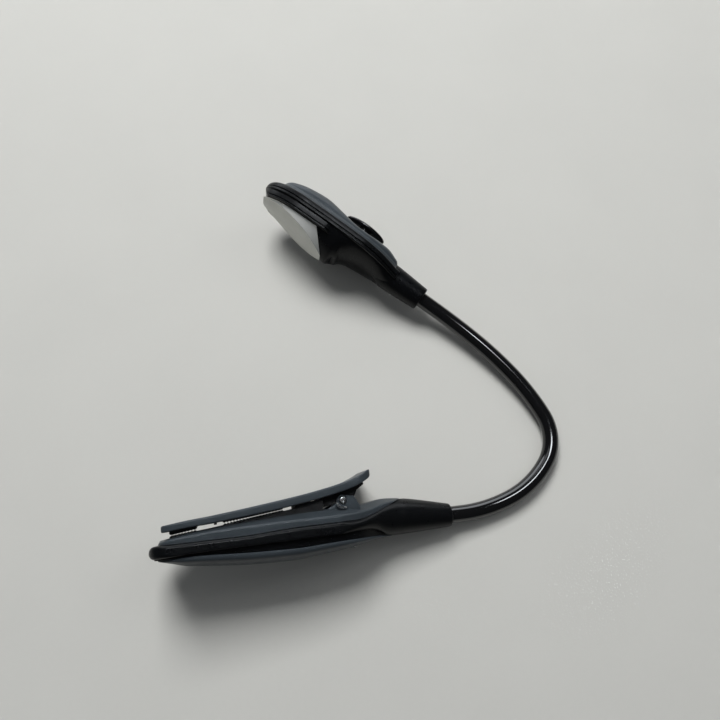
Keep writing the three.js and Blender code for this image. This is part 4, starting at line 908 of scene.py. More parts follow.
    def ears(self) -> None:
        """The two ears that carry the pin: round over the pin, with a sloping front and a steep back."""
        x, y, over = self.pin_x, self.pin_height, 1.0
        top = float(self.plate_top(self.pin_x))
        foot = top - self.ear_root
        arc = np.radians(np.linspace(60, 190, 14))
        round_top = np.stack([x + self.ear_round * np.cos(arc), y + self.ear_round * np.sin(arc)], axis=-1)
        front = [(x - 2.6, y - 1.0), (x - 4.9, top - 0.1), (x - 4.9, foot)]
        back = [(x + 5.5, foot), (x + 5.3, top + 0.1), (x + 4.5, y - 0.3), (x + 3.6, y + 1.0)]
        back.append((x + 2.0, y + 1.4))
        outline = np.array([*round_top, *front, *back])
        for name, side in (("ear_upper", 1), ("ear_lower", -1)):
            low, high = sorted((side * self.ear_inner, side * (self.ear_inner + self.ear_thickness)))
            grid = extruded(dense(outline, 96), low, high, self.ear_edge)
            piece = finished(name, surface(name, grid, self.where), Finish.SLATE, "clip", sharp=40)
            ends = [(low - over, ON_AXIS), (low - over, self.ear_hole)]
            ends += [(high + over, self.ear_hole), (high + over, ON_AXIS)]
            carve(piece, surface(name + "_cutter", turned(ends, (x, y), 40), self.where))

    def pin(self) -> None:
        """The hinge pin: a tube rivet with a rounded lip and a hollow at both ends."""
        end, radius, hollow, edge = self.pin_end, self.pin_radius, self.pin_hollow, self.pin_edge
        floor, chamfer = end - self.pin_hollow_depth, edge * 0.3
        half = [(floor, ON_AXIS), (floor, hollow), (end - edge, hollow), (end, hollow + edge)]
        half += [(end, radius - edge), (end - chamfer, radius - chamfer), (end - edge, radius)]
        profile = [(-z, r) for z, r in half] + [(z, r) for z, r in reversed(half)]
        grid = turned(profile, (self.pin_x, self.pin_height), 40)
        finished("hinge_rivet", surface("hinge_rivet", grid, self.where), Finish.STEEL, "clip", ["hinge_pin"])

    def spring(self, lever: "Lever") -> None:
        """The torsion spring: a leg under the lever, a helix round the pin and a hook round the ear.

        The helix turns with radius coil_radius about the pin while z rises by coil_pitch a turn.
        """
        x, y, radius, turns = self.pin_x, self.pin_height, self.coil_radius, self.coil_turns
        half = self.coil_pitch * turns / 2
        bend_end = (x + 0.8, y - 2.2, half + 0.8)
        hook_z = self.ear_inner + self.ear_thickness + self.hook_gap + 0.8
        hook_dip = 0.9
        leg_x = x + self.leg_reach
        leg_y = float(lever.low(np.array([leg_x]))[0]) - self.wire_radius - self.leg_gap
        turn = np.radians(90 + np.linspace(0, 360 * turns, int(36 * turns)))
        rise = np.linspace(-half, half, len(turn))
        coil = np.stack([x + radius * np.cos(turn), y + radius * np.sin(turn), rise], axis=-1)
        leg = np.linspace((leg_x, leg_y, -half), coil[0], 8)[:-1]
        bend = np.linspace(coil[-1], bend_end, 6)[1:]
        turn = np.radians(np.linspace(-70, -168, 16))
        rise = hook_z + hook_dip * (np.minimum(np.linspace(0, 1.6, 16), 1) ** 0.5 - 1)
        radius = self.hook_radius
        hook = np.stack([x + radius * np.cos(turn), y + radius * np.sin(turn), rise], axis=-1)
        across = np.linspace(bend[-1], hook[0], 12)[1:-1]
        path = np.concatenate([leg, coil, bend, across, hook])
        mesh = surface("hinge_spring", wire(path, self.wire_radius, blunt=0.7), self.where)
        piece = finished("hinge_spring", mesh, Finish.STEEL, "", ["torsion_spring"], 60)
        start, end = self.where.place(np.array([(x, y, half), (x, y, -half)]))
        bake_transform(piece)

    def build(self, lever: "Lever") -> None:
        """Make every piece of the base."""
        self.shell()
        self.band()
        self.plate()
        self.battery_cover()
        self.ears()
        self.pin()
        self.spring(lever)


# The lever


@dataclass
class Lever:
    """The lever over the base: a long channel with rounded edges whose tail curls up. In the clip's frame."""

    clip: Clip
    front: float = 3.9
    tail: float = 9.4
    width: float = 20.4
    front_radius: float = 4.0
    tip_height: float = 7.1
    over_pin: float = 5.7
    tail_lift: float = 2.0
    sag: float = 1.0
    tip_thickness: float = 2.0
    tail_thickness: float = 2.6
    thickening: float = 37.0  # the length over which the tip's thickness grows to the tail's
    wall: float = 1.2
    edge: float = 0.55
    low_edge: float = 0.35
    inner_edge: float = 0.12
    roof_edge: float = 0.2
    tip_round: float = 0.6
    tail_round: float = 1.0
    tip_solid: float = 0.2  # what is solid behind the tip, beside the wall
    tail_solid: float = 1.6

    sag_line: ClassVar[Shares] = (
        (0, 0), (0.12, 0.15), (0.22, 0.5), (0.42, 0.85), (0.65, 1), (0.78, 0.75), (0.87, 0.35), (1, 0),
    )

    def __post_init__(self) -> None:
        """Work out where the lever ends and how steeply it rises."""
        self.rear = self.clip.pin_x + self.tail
        self.slope = (self.clip.pin_height + self.over_pin - self.tip_height) / (self.clip.pin_x - self.front)
        self.dip = Profile(self.sag_line, self.rear - self.front, self.sag)

    def top(self, x: Array) -> Array:
        """Return the top line: a line that sags before the pin and curls up as a square behind it."""
        share = np.clip((x - self.clip.pin_x) / self.tail, 0, None)
        line = self.tip_height + (x - self.front) * self.slope
        return line + self.tail_lift * share**2 - self.dip(x - self.front)

    def low(self, x: Array) -> Array:
        """Return the underside's line."""
        grown = np.clip((x - self.front) / self.thickening, 0, 1)
        return self.top(x) - self.tip_thickness - (self.tail_thickness - self.tip_thickness) * grown

    def stations(self) -> Array:
        """Return stations from tip to tail, crowded as on a quarter circle at both ends."""
        t = np.linspace(0, QUARTER, 12)
        tip = self.front + self.tip_round * (1 - np.cos(t))
        tail = self.rear - self.tail_round * (1 - np.sin(t))
        return np.r_[tip, np.linspace(tip[-1], tail[0], 100)[1:-1], tail]

    def build(self) -> None:
        """The channel: outer top and side, and the hollow underside, which stops short of both ends.

        The corners in plan are quarter circles halved in depth, and over both ends the section shrinks
        towards its middle by the height of a quarter circle.
        """
        least, middle_share, corner_share = 0.55, 0.55, 0.5
        x, start, end = self.stations(), self.front, self.rear
        reach = np.maximum(start + self.front_radius - x, x - end + self.front_radius)
        ahead = np.clip(reach, 0, self.front_radius)
        corner = self.front_radius - np.sqrt(self.front_radius**2 - ahead**2)
        half = self.width / 2 - corner * corner_share
        near = np.clip(np.maximum(1 - (x - start) / self.tip_round, 1 - (end - x) / self.tail_round), 0, 1)
        squash = least + (1 - least) * np.sqrt(1 - near**2)
        top, low = self.top(x), self.low(x)
        middle = low + (top - low) * middle_share
        top, low = middle + (top - middle) * squash, middle + (low - middle) * squash
        hollow = (x > start + self.wall + self.tip_solid) & (x < end - self.wall - self.tail_solid)
        roof = low + (top - self.wall - low) * hollow
        inner = half - self.wall
        y, z = column(top, top, low, low, roof, roof), column(0 * x, half, half, inner, inner, 0 * x)
        radii = [0, self.edge, self.low_edge, self.inner_edge, self.roof_edge, 0]
        rings = stretched(x, mirrored(rounded(np.stack([y, z], axis=-1), radii)))
        finished("lever", surface("lever", rings, self.clip.where), Finish.SLATE, "lever", ["lever_shell"])


# The neck


@dataclass
class Neck:
    """The bendable neck: a glossy sleeve in lengths that meet halfway between two joints."""

    clip: Clip
    radius: float = 2.72
    bore: float = 2.05
    held: float = 12.0
    head_reach: float = 6.0  # from the last joint to the head's collar
    bend_reach: float = 5.0
    step: float = 0.5
    sides: int = 40

    def arc(self, here: Array, along: Array, joint: Array) -> tuple[Array, Array]:
        """Run on to the next joint along one circle arc.

        With h the angle between the start's direction and the chord, the arc turns by 2 h, and its radius is
        the chord over 2 sin h.

        Args:
            here: where the arc starts.
            along: the direction in which it starts, of length 1.
            joint: where it ends.

        Returns:
            The arc's points after the first, and the direction in which it ends.
        """
        chord = joint - here
        length = np.linalg.norm(chord)
        unit = chord / length
        cosine = float(np.clip(unit @ along, -1, 1))
        side = unit - cosine * along
        share = np.linspace(0, 1, max(3, int(length / self.step)) + 1)[1:, None]
        straight = 1e-3
        if np.linalg.norm(side) < straight:
            return here + chord * share, 2 * cosine * unit - along
        side = side / np.linalg.norm(side)
        half = math.acos(cosine)
        radius = length / (2 * math.sin(half))
        points = here + radius * (np.sin(2 * half * share) * along + (1 - np.cos(2 * half * share)) * side)
        return points, 2 * cosine * unit - along

    def path(self) -> tuple[Array, list[int]]:
        """Trace the middle line in millimetres in the model's frame.

        Each stretch between two joints is the one circle arc that leaves the last stretch smoothly and meets
        the next joint. The line starts in the clip's collar and ends in the head's.

        Returns:
            The points, and the index of each joint's point.
        """
        joints = [np.array(j["pos_m"]) / MM for j in frame["joints"] if j["name"].startswith("neck_")]
        here = self.clip.where.place(np.array([self.clip.length, self.clip.neck_height, 0.0])) / MM
        along = self.clip.where.axes()[:, 0]
        line = list(np.linspace(here - along * self.held, here, int(self.held / self.step)))
        marks = []
        for joint in joints:
            points, along = self.arc(here, along, joint)
            line += list(points)
            marks.append(len(line) - 1)
            here = joint
        tail = self.head_reach + self.held
        line += list(np.linspace(here, here + along * tail, int(tail / self.step))[1:])
        return np.array(line), marks

    def build(self) -> None:
        """Cut the sleeve halfway between joints; each length spans its own joint."""
        line, marks = self.path()
        rings = wire(line, self.radius, self.sides)
        inner = line[:, None] + (rings - line[:, None]) * (self.bore / self.radius)
        cuts = [0, *((a + b) // 2 for a, b in zip(marks, marks[1:])), len(line) - 1]
        bodies = ["clip", *(f"neck_link_{i}" for i in range(1, len(marks))), "head"]
        nodes = frame["record"]["behaviour"]["bodies"]
        near = 4
        for i, (first, last, mark) in enumerate(zip(cuts, cuts[1:], marks)):
            grid = np.concatenate([rings[first : last + 1], inner[first : last + 1][::-1]]) * MM
            name = f"neck_sleeve_{i + 1}"
            owners = bodies[i:] if mark == marks[-1] else bodies[i : i + 1]
            stood = [node for body in owners for node in nodes[body] if node.startswith("neck_sheath")]
            piece = finished(name, surface(name, grid, None, torus=True), Finish.NECK, "", stood, 50)
            direction = line[min(mark + near, len(line) - 1)] - line[mark - near]
            direction = direction / np.linalg.norm(direction) * self.bend_reach
            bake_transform(piece)


# The lamp head


@dataclass
class Head:
    """The lamp head: bezel, lens holder, hood, collar, back cover, lens and button. Sizes in millimetres.

    Its frame has x from the tip, y = 0 and z = 0 on the neck's axis, and the back towards +y.
    """

    length: float = 70.1
    width: float = 24.0
    tip_length: float = 17.0
    tip_power: float = 2.05
    back: float = 1.9
    front: float = 1.6
    neck_tip: float = 6.0
    neck_radius: float = 2.7
    neck_gap: float = 0.12
    bezel_end_share: float = 0.83
    bezel_middle: float = 0.15
    bezel_edge: float = 1.0
    slot_depth: float = 0.42
    rib_inset: float = 0.12
    holder_front: float = 4.3
    holder_start: float = 1.6
    holder_end_share: float = 0.46
    holder_back: float = -1.2
    holder_inset: float = 0.9
    holder_pinch: float = 2.5
    hood_peak: float = 10.4
    hood_back: float = 1.0
    hood_start_share: float = 0.33
    hood_inset: float = 0.9
    slant_share: float = 0.36
    slant_tip_share: float = 0.458
    collar_radius: float = 4.3
    collar_root: float = 5.2
    collar_root_share: float = 0.79
    collar_edge: float = 0.5
    collar_run_in: float = 9.0
    bore_lip: float = 0.15
    bore_depth: float = 2.5
    crown: float = 7.5
    cover_start_share: float = 0.06
    cover_end_share: float = 0.805
    cover_gap: float = 0.12
    cover_inset: float = 1.6
    cover_round: float = 4.2
    cover_tail: float = 1.6
    crease_height: float = 1.7
    crease_inset: float = 0.85
    button_share: float = 0.547
    button_long: float = 8.25
    button_wide: float = 4.1
    button_dome: float = 1.4
    button_belly: float = 0.9
    button_rise: float = 3.2
    button_edge: float = 0.12
    button_stem: float = 2.3
    stem_hole: float = 2.6
    lens_depth: float = 6.1
    lens_face: float = 8.4
    lens_start_share: float = 0.03
    lens_end_share: float = 0.47
    lens_inset: float = 2.5
    lens_bulge: float = 0.5
    lens_seat: float = 0.2
    lens_gap: float = 0.25

    crown_line: ClassVar[Shares] = (
        (0.06, 0.3), (0.09, 0.5), (0.14, 0.72), (0.2, 0.88), (0.31, 1), (0.42, 0.82), (0.5, 0.64),
        (0.58, 0.6), (0.66, 0.68), (0.72, 0.7), (0.77, 0.56), (0.8, 0.46),
    )
    hood_line: ClassVar[Shares] = (
        (0.33, 0.74), (0.47, 1), (0.5, 0.9), (0.53, 0.68), (0.56, 0.53), (0.6, 0.45), (0.66, 0.39),
        (0.72, 0.4), (0.78, 0.44), (0.84, 0.4),
    )
    lens_depths: ClassVar[Shares] = ((0.03, 0.04), (0.14, 0.16), (0.26, 0.43), (0.36, 0.68), (0.47, 1))
    lens_halves: ClassVar[Shares] = (
        (0.03, 0.32), (0.06, 0.58), (0.14, 0.87), (0.25, 1), (0.36, 0.8), (0.43, 0.4), (0.47, 0.06),
    )

    def __post_init__(self) -> None:
        """Work out the frame and the curves that the pieces share."""
        neck_end = (self.length + self.neck_tip, 0.0, 0.0)
        self.where = LocalFrame(-42.9207, 9.3207, 0.0056, "neck_curl_7", neck_end)
        plan = [(0.24, 0.97), (0.4, 1), (0.6, 0.98), (0.66, 0.92), (0.714, 0.83), (0.77, 0.66), (0.82, 0.5)]
        plan.append((1, self.collar_radius / self.width * 2))
        self.plan = Profile(plan, self.length, self.width / 2)
        self.dome = Profile(self.crown_line, self.length, self.crown)
        self.hood_depth = Profile(self.hood_line, self.length, self.hood_peak)
        self.button_x = self.button_share * self.length

    def half(self, x: Array) -> Array:
        """Return half the head's width: a superellipse over the tip, then the plan's curve."""
        share = np.clip(1 - x / self.tip_length, 0, 1)
        tip = self.plan(self.tip_length) * (1 - share**self.tip_power) ** (1 / self.tip_power)
        return np.where(x < self.tip_length, tip, self.plan(x))

    def stations(self, start: float, end: float, step: float, turn: float = 6.0) -> Array:
        """Return stations from start to end, crowded at the start where the tip is round."""
        share = np.linspace(0, 1, 26)
        crowding = 2.2
        return np.r_[start + turn * share**crowding, np.arange(start + turn + step, end, step), end]

    def stepped(self, half: Array, steps: Sequence[tuple[float, float]], base: float, rise: Array) -> Array:
        """Return half outlines down a side with steps.

        Args:
            half: half the width at each station.
            steps: (level, inset) of each corner down the side; the first and the last are also the faces'.
            base: the level towards which the outlines shrink.
            rise: the share of its height that each outline keeps.

        Returns:
            The outlines, of shape (stations, corners, (y, z)).
        """
        least = 0.3
        levels = [steps[0][0], *(level for level, _ in steps), steps[-1][0]]
        y = column(*[base + (level - base) * rise for level in levels])
        sides = [np.maximum(half - inset, half * least) for _, inset in steps]
        return np.stack([y, column(0 * half, *sides, 0 * half)], axis=-1)

    def bezel(self) -> None:
        """The black band round the head: a round top edge, a slot and a thinner rib under it."""
        slot, rib = self.slot_depth, self.rib_inset
        steps = [(self.back, 0), (-0.25, 0), (-0.32, slot), (-0.62, slot), (-0.7, rib), (-self.front, rib)]
        least, grown = 0.25, 7.0
        x = self.stations(0.02, self.bezel_end_share * self.length, 0.7)
        rise = least + (1 - least) * np.sqrt(1 - (1 - np.clip(x / grown, 0, 1)) ** 2)
        outline = self.stepped(self.half(x), steps, self.bezel_middle, rise)
        halves = rounded(outline, [0, self.bezel_edge, 0.16, 0.08, 0.08, 0.16, 0.35, 0], 6)
        rings = stretched(x, mirrored(halves))
        finished("head_bezel", surface("head_bezel", rings, self.where), Finish.BLACK, "head", ["head_frame"])

    def holder(self) -> None:
        """The body in front of the bezel that holds the lens, with a thin slot along its edge."""
        end, low, back = self.holder_end_share * self.length, -self.holder_front, self.holder_back
        steps = [(back, 0.0), (low + 0.85, 0.15), (low + 0.8, 0.6), (low + 0.45, 0.6)]
        steps += [(low + 0.4, 0.2), (low, 0.25)]
        least, pinch_length, front_rise = 0.3, 5.0, (1.0, 4.0)
        x = self.stations(self.holder_start, end, 0.6)
        pinch = self.holder_pinch * ease(x, end - pinch_length, end) ** 2
        half = np.maximum(self.half(x) - self.holder_inset, 0.5) - pinch
        outline = self.stepped(half, steps, back, least + (1 - least) * ease(x, *front_rise))
        halves = rounded(outline, [0, 0, 0.12, 0.06, 0.06, 0.1, 0.12, 0], 5)
        rings = stretched(x, mirrored(halves))
        finished("lens_holder", surface("lens_holder", rings, self.where), Finish.BLACK, "head")

    def slant(self, y: Array) -> Array:
        """Return how far along x the slanting face between lens and hood lies at a height y."""
        top, tip = self.slant_share * self.length, self.slant_tip_share * self.length
        return top + (tip - top) * (-y - self.holder_front) / (self.hood_peak - self.holder_front)

    def hood(self) -> None:
        """The black hood behind the lens: arches that swell to a peak and run out into the collar.

        Along an arch t runs over a half turn, with z = half cos^(2/power) t, and y falls from the hood's edge
        by its depth times sin^(2/power) t. The power is 1.55 at the lens and grows twice towards the collar.
        The stations start on the slanting face, whose place depends on y, so they are worked out a few times.
        """
        rows, columns, crowding = 110, 161, 1.1
        power_at_lens, first_growth, second_growth = 1.55, 0.15, 0.4
        share = np.linspace(0, 1, rows)[:, None]
        t = np.linspace(0, math.pi, columns)[None, :]
        end, top = self.bezel_end_share * self.length, self.hood_back
        guess = 0.4 * self.length
        x = np.broadcast_to(guess + (end - guess) * share, (rows, columns))
        for _ in range(6):
            power = power_at_lens + first_growth * ease(x, 36, 42) + second_growth * ease(x, 50, 58)
            y = -top - (self.hood_depth(x) - top) * np.sin(t) ** (2 / power)
            start = np.maximum(self.slant(y), self.hood_start_share * self.length)
            x = start + (end - start) * share**crowding
        z = (self.half(x) - self.hood_inset) * np.sign(np.cos(t)) * np.abs(np.cos(t)) ** (2 / power)
        rings = np.stack([x, y, z], axis=-1)
        finished("lens_hood", surface("lens_hood", rings, self.where), Finish.BLACK, "head", sharp=50)

    def collar(self) -> None:
        """The collar that holds the neck: a taper with a rounded end and the hole round the neck."""
        start, edge = self.collar_root_share * self.length, self.collar_edge
        hole, flare = self.neck_radius + self.neck_gap, 0.1
        end, end_radius = self.length - edge, self.collar_radius + 0.03
        run_in, sides = self.collar_run_in, 72
        root = [(1, 0.5), (0.75, 0.68), (0.5, 0.82), (0.25, 0.94)]
        places = [(start - back * run_in, size * self.collar_root) for back, size in root]
        radius = Profile([*places, (start, self.collar_root), (end, end_radius)])
        x = np.linspace(start - run_in, end, 60)
        angle = np.radians((25, 50, 72, 90))
        r = np.r_[radius(x), end_radius - edge * (1 - np.cos(angle)), hole + flare, hole, hole]
        x = np.r_[x, self.length - edge * (1 - np.sin(angle))]
        x = np.r_[x, self.length, self.length - self.bore_lip, self.length - self.bore_depth]
        t = np.linspace(0, ROUND, sides, endpoint=False)
        along = np.broadcast_to(x[:, None], (len(x), sides))
        rings = np.stack([along, r[:, None] * np.cos(t), r[:, None] * np.sin(t)], axis=-1)
        finished("head_collar", surface("head_collar", rings, self.where), Finish.BLACK, "head")

    def cover(self) -> None:
        """The grey back: a low wall, a crease where it turns in, and a dome with a saddle and a hump."""
        start, end = self.cover_start_share * self.length, self.cover_end_share * self.length
        least_narrow, least_aft, least_half, crease_share, power = 0.04, 0.05, 0.6, 0.45, 2.15
        tail = self.cover_tail
        x = self.stations(start, end, 0.6, 4.0)
        fore = np.clip((x - start) / self.cover_round, 0, 1)
        narrow = np.sqrt(np.clip(fore * (2 - fore), least_narrow, 1))
        half = np.maximum((self.half(x) - self.cover_inset) * narrow, least_half)
        aft = np.sqrt(np.clip(1 - np.clip((x - end + tail) / tail, 0, 1) ** 2, least_aft, 1))
        high = self.dome(x) * aft
        edge = self.back + self.cover_gap + 0 * x
        crease = np.minimum(self.crease_height * narrow * aft, high * crease_share)
        inset = self.crease_inset * narrow
        t = np.linspace(0.15, 1, 4)[None, :]
        wall = np.stack([column(edge, edge), column(0 * x, half)], axis=-1)
        rise, narrowing = crease[:, None] * t, inset[:, None] * t**1.5
        side = np.stack([edge[:, None] + rise, half[:, None] - narrowing], axis=-1)
        dome = arch(half - inset, edge + crease, high - crease, power)[:, 1:]
        rings = stretched(x, mirrored(np.concatenate([wall, side, dome], axis=1)))
        mesh = surface("head_back", rings, self.where)
        piece = finished("head_back", mesh, Finish.SLATE, "head", ["head_cover"], 24)
        reach, hole = 20.0, self.stem_hole
        profile = [(0.0, ON_AXIS), (0.0, hole), (reach, hole), (reach, ON_AXIS)]
        across, along, up = np.moveaxis(turned(profile, (0, 0)), -1, 0)
        grid = np.stack([across + self.button_x, up, along], axis=-1)
        carve(piece, surface("stem_cutter", grid, self.where))

    def lens(self) -> None:
        """The lens: a clear wall that leans in to a frosted, gently bulged face, cut by the hood's slant.

        Across, the first share of each row is the wall, from the rim to the face's edge, and the rest is the
        face, which bulges as a sine. Rows end on the slanting face, so they are worked out a few times.
        """
        depth = Profile(self.lens_depths, self.length, self.lens_depth)
        face = Profile(self.lens_halves, self.length, self.lens_face)
        start, count, across, wall_share = self.lens_start_share * self.length, 80, 61, 0.36
        lean_y, lean_z, full_bulge = 1.15, 0.9, 8.0
        share = np.linspace(0, 1, count)[:, None]
        turn = np.linspace(0, 1, across)[None, :]
        wall = np.clip(turn / wall_share, 0, 1)
        inner = np.clip((turn - wall_share) / (1 - wall_share), 0, 1)
        x = np.broadcast_to(start + 20 * share, (count, across))
        for _ in range(5):
            rim = np.maximum(self.half(x) - self.lens_inset, 0.55)
            flat = np.minimum(face(x), rim)
            front = -self.holder_front - depth(x)
            back = -self.holder_front - self.lens_seat
            bulge = self.lens_bulge * np.sin(inner * QUARTER) * np.clip(flat / full_bulge, 0, 1)
            y = back + (front - back) * wall**lean_y - bulge
            z = (rim + (flat - rim) * wall**lean_z) * (1 - inner)
            limit = np.minimum(self.slant(y) - self.lens_gap, self.lens_end_share * self.length)
            x = start + (limit - start) * share
        rings = np.stack([x, y, z], axis=-1)
        other = rings[:, ::-1] * (1, 1, -1)
        back_row = rings[:, :1] * (1, 1, 0)
        grid = np.concatenate([back_row, rings, other[:, 1:]], axis=1)
        mesh = surface("lens_shell", grid, self.where)
        piece = finished("lens_shell", mesh, Finish.LENS_WALL, "head", ["lens"], 40)
        piece.data.materials.append(Finish.LENS_FACE.build())
        self.frost(piece.data)

    def frost(self, mesh: bpy.types.Mesh) -> None:
        """Give the frosted finish to the faces that look forwards."""
        facing = 0.8
        normals = np.empty(len(mesh.polygons) * 3)
        mesh.polygons.foreach_get("normal", normals)
        forwards = normals.reshape(-1, 3) @ -self.where.axes()[:, 1]
        mesh.polygons.foreach_set("material_index", (forwards > facing).astype(int))

    def button(self) -> None:
        """The button: a thin oval lens shape on a round stem.

        Its rings are ellipses. From the widest one, the upper ones shrink as a cosine while they rise as a
        sine to the power 1.1, and the lower ones fall as a sine until they meet the stem.
        """
        long, wide, stem = self.button_long, self.button_wide, self.button_stem
        dome, belly, edge, power = self.button_dome, self.button_belly, self.button_edge, 1.1
        rim = self.back + float(self.dome(self.button_x)) + self.button_rise
        stem_share = stem / wide + 0.05
        turn = np.linspace(0, QUARTER, 14)
        upper = [(math.cos(v), rim + edge + dome * math.sin(v) ** power) for v in turn]
        lower = [(math.cos(v), rim - edge - belly * math.sin(v)) for v in turn[::-1]]
        lower = [(size, y) for size, y in lower if size > stem_share]
        ovals = [(stem, stem, y) for y in (self.switch_top(), rim - belly - 0.15, rim - belly + 0.1)]
        ovals += [(long * size, wide * size, y) for size, y in [*lower, *upper]]
        t = np.linspace(0, ROUND, 96, endpoint=False)
        rows = [(self.button_x + a * np.cos(t), y + 0 * t, b * np.sin(t)) for a, b, y in ovals]
        grid = np.stack([np.stack(row, axis=-1) for row in rows])
        mesh = surface("push_button", grid, self.where)
        finished("push_button", mesh, Finish.BUTTON, "button", ["power_button"], 50)

    def switch_top(self) -> float:
        """Return the height y at which the button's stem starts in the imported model."""
        mesh = frame["nodes"]["power_button"].data
        places = np.empty(len(mesh.vertices) * 3, np.float32)
        mesh.vertices.foreach_get("co", places)
        local = (places.reshape(-1, 3) - self.where.place(np.zeros(3))) @ self.where.axes() / MM
        return float(local[:, 1].min())

    def build(self) -> None:
        """Make every piece of the head."""
        self.bezel()
        self.holder()
        self.hood()
        self.collar()
        self.cover()
        self.lens()
        self.button()


# CAD nodes that stay


def dress_kept_nodes() -> None:
    """Give every CAD node the finish of its slot, and smooth shading with its sharp edges kept."""
    finishes = {
        "black_plastic": Finish.BLACK, "slate_plastic": Finish.SLATE, "neck_gloss": Finish.NECK,
        "jaw_rubber": Finish.RUBBER, "steel": Finish.STEEL, "cell_steel": Finish.CELL, "brass": Finish.BRASS,
        "lead_insulation": Finish.LEADS, "lens_clear": Finish.LENS_WALL, "white_plastic": Finish.WHITE,
        "circuit_board": Finish.BOARD, "led_epoxy": Finish.LED, "switch_plastic": Finish.SWITCH,
        "button_gloss": Finish.BUTTON,
    }
    sharp = math.radians(30)
    slots = {s["node"]: s["material_slot"] for s in frame["record"]["subparts"]}
    for name, node in frame["nodes"].items():
        node.data.materials.clear()
        node.data.materials.append(finishes[slots[name]].build())
        node.data.polygons.foreach_set("material_index", np.zeros(len(node.data.polygons), int))
        if node.hide_render:
            continue
        node.data.shade_smooth()
        weld = node.modifiers.new("weld", "WELD")
        weld.merge_threshold = MERGE
        split = node.modifiers.new("split", "EDGE_SPLIT")
        split.split_angle = sharp


# Stage


@dataclass(frozen=True)
class Window:
    """A bright patch of the world that only gloss sees: the spans of its directions, and how bright it is."""

    x: tuple[float, float]
    y: tuple[float, float]
    z: tuple[float, float]
    power: float

    soft: ClassVar[float] = 0.03

    def share(self, tree: bpy.types.NodeTree) -> bpy.types.NodeSocket:
        """Return 1 for directions within the spans and 0 outside them, with soft borders."""
        place = tree.nodes.new("ShaderNodeTexCoord")
        split = tree.nodes.new("ShaderNodeSeparateXYZ")
        tree.links.new(place.outputs["Generated"], split.inputs[0])
        share = None
        for axis, (low, high) in zip("XYZ", (self.x, self.y, self.z)):
            for edge, turn in ((low, self.soft), (high, -self.soft)):
                step = tree.nodes.new("ShaderNodeMapRange")
                step.interpolation_type = "SMOOTHSTEP"
                step.inputs["From Min"].default_value = edge - turn
                step.inputs["From Max"].default_value = edge + turn
                tree.links.new(split.outputs[axis], step.inputs["Value"])
                share = step.outputs[0] if share is None else self.product(tree, share, step.outputs[0])
        return share

    def product(
        self, tree: bpy.types.NodeTree, first: bpy.types.NodeSocket, second: bpy.types.NodeSocket
    ) -> bpy.types.NodeSocket:
        """Return the product of two sockets."""
        node = tree.nodes.new("ShaderNodeMath")
        node.operation = "MULTIPLY"
        tree.links.new(first, node.inputs[0])
        tree.links.new(second, node.inputs[1])
        return node.outputs[0]


@dataclass(frozen=True)
class Lamp:
    """A square area lamp that looks at the middle of the table, and that no gloss mirrors.

    Its place and size are in metres, its power in watts.
    """

    name: str
    place: tuple[float, float, float]
    size: float
    power: float

    def build(self) -> None:
        """Add the lamp."""
        data = bpy.data.lights.new(self.name, "AREA")
        data.energy, data.size = self.power, self.size
        lamp = bpy.data.objects.new(self.name, data)
        lamp.visible_glossy = False
        lamp.location = self.place
        lamp.rotation_mode = "QUATERNION"
        lamp.rotation_quaternion = (-Vector(self.place)).to_track_quat("-Z", "Y")
        bpy.context.scene.collection.objects.link(lamp)


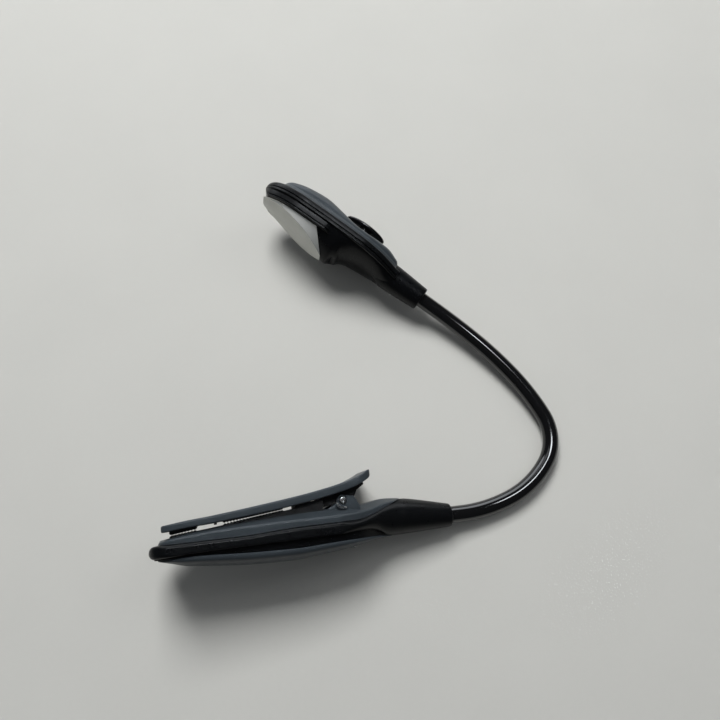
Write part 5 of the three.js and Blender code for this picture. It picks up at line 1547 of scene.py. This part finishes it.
@dataclass(frozen=True)
class Stage:
    """The plain pale table, the soft studio light and the camera at the photograph's angle."""

    floor_color: Color = (0.60, 0.60, 0.57)
    floor_mottle: tuple[float, float] = (0.985, 1.01)
    floor_cloud: float = 25.0
    floor_roughness: float = 0.5
    floor_specular: float = 0.25
    floor_side: float = 3.0
    camera_place: tuple[float, float, float] = (-7.70, -87.65, 247.78)
    camera_tilt: float = 20.0
    camera_yaw: float = -7.973
    focal_pixels: float = 722.0
    picture_pixels: float = 720.0
    sensor: float = 36.0
    sky: tuple[float, float, float, float] = (0.93, 0.96, 1.0, 1)
    sky_power: float = 0.15
    gloss_sky: tuple[float, float, float, float] = (0.92, 0.96, 1.0, 1)
    gloss_power: float = 0.05
    lamps: tuple[Lamp, ...] = (
        Lamp("main_light", (-0.08, 0.62, 0.95), 0.5, 12.3),
        Lamp("fill_light", (0.75, 0.25, 0.8), 0.5, 1.0),
    )
    windows: tuple[Window, ...] = (
        Window((0.0, 0.28), (0.2, 0.34), (0.5, 1.2), 20.0),
        Window((-0.5, 0.6), (0.75, 1.2), (0.1, 0.6), 3.0),
        Window((-0.35, -0.05), (0.45, 0.7), (0.5, 1.2), 1.2),
    )

    def camera(self) -> None:
        """Place the camera above the near side, looking down."""
        data = bpy.data.cameras.new("camera")
        data.sensor_fit, data.sensor_width = "HORIZONTAL", self.sensor
        data.lens = self.focal_pixels / self.picture_pixels * self.sensor
        data.clip_start, data.clip_end = 0.01, 10
        camera = bpy.data.objects.new("camera", data)
        camera.location = Vector(self.camera_place) * MM
        camera.rotation_euler = (math.radians(self.camera_tilt), 0, math.radians(self.camera_yaw))
        bpy.context.scene.collection.objects.link(camera)
        bpy.context.scene.camera = camera

    def floor(self) -> None:
        """Lay the table: a wide sheet with a faint mottle."""
        side = self.floor_side
        mesh = bpy.data.meshes.new("table")
        corners = [(-side, -side, 0), (side, -side, 0), (side, side, 0), (-side, side, 0)]
        mesh.from_pydata(corners, [], [(0, 1, 2, 3)])
        floor = bpy.data.objects.new("table", mesh)
        bpy.context.scene.collection.objects.link(floor)
        n = Nodes("table_top")
        cloud = n.ranged(n.noise(self.floor_cloud, 5), 0, 1)
        n.set(n.shader, "Base Color", n.mixed(cloud, *(tint(self.floor_color, v) for v in self.floor_mottle)))
        n.shader.inputs["Roughness"].default_value = self.floor_roughness
        n.shader.inputs["Specular IOR Level"].default_value = self.floor_specular
        mesh.materials.append(n.material)

    def world(self) -> None:
        """Make the world: a pale even one for all but gloss, which sees a dark one with the windows."""
        world = bpy.data.worlds.new("studio")
        world.use_nodes = True
        tree = world.node_tree
        soft, dark = tree.nodes["Background"], tree.nodes.new("ShaderNodeBackground")
        soft.inputs[0].default_value, soft.inputs[1].default_value = self.sky, self.sky_power
        dark.inputs[0].default_value = self.gloss_sky
        strength = None
        for window in self.windows:
            glow = tree.nodes.new("ShaderNodeMath")
            glow.operation = "MULTIPLY_ADD"
            tree.links.new(window.share(tree), glow.inputs[0])
            glow.inputs[1].default_value, glow.inputs[2].default_value = window.power, self.gloss_power
            if strength is not None:
                tree.links.new(strength, glow.inputs[2])
            strength = glow.outputs[0]
        tree.links.new(strength, dark.inputs[1])
        path, mix = tree.nodes.new("ShaderNodeLightPath"), tree.nodes.new("ShaderNodeMixShader")
        tree.links.new(path.outputs["Is Glossy Ray"], mix.inputs[0])
        tree.links.new(soft.outputs[0], mix.inputs[1])
        tree.links.new(dark.outputs[0], mix.inputs[2])
        tree.links.new(mix.outputs[0], tree.nodes["World Output"].inputs[0])
        bpy.context.scene.world = world

    def build(self) -> None:
        """Set up camera, table, lamps and world, and the plain view transform."""
        bpy.context.scene.view_settings.view_transform = "Standard"
        self.camera()
        self.floor()
        for lamp in self.lamps:
            lamp.build()
        self.world()


def main() -> None:
    """Build the stage and every piece."""
    logging.basicConfig(level=logging.INFO, format="%(message)s")
    Stage().build()
    clip = Clip()
    lever = Lever(clip)
    clip.build(lever)
    lever.build()
    Neck(clip).build()
    Head().build()
    dress_kept_nodes()


if __name__ == "__main__":
    main()
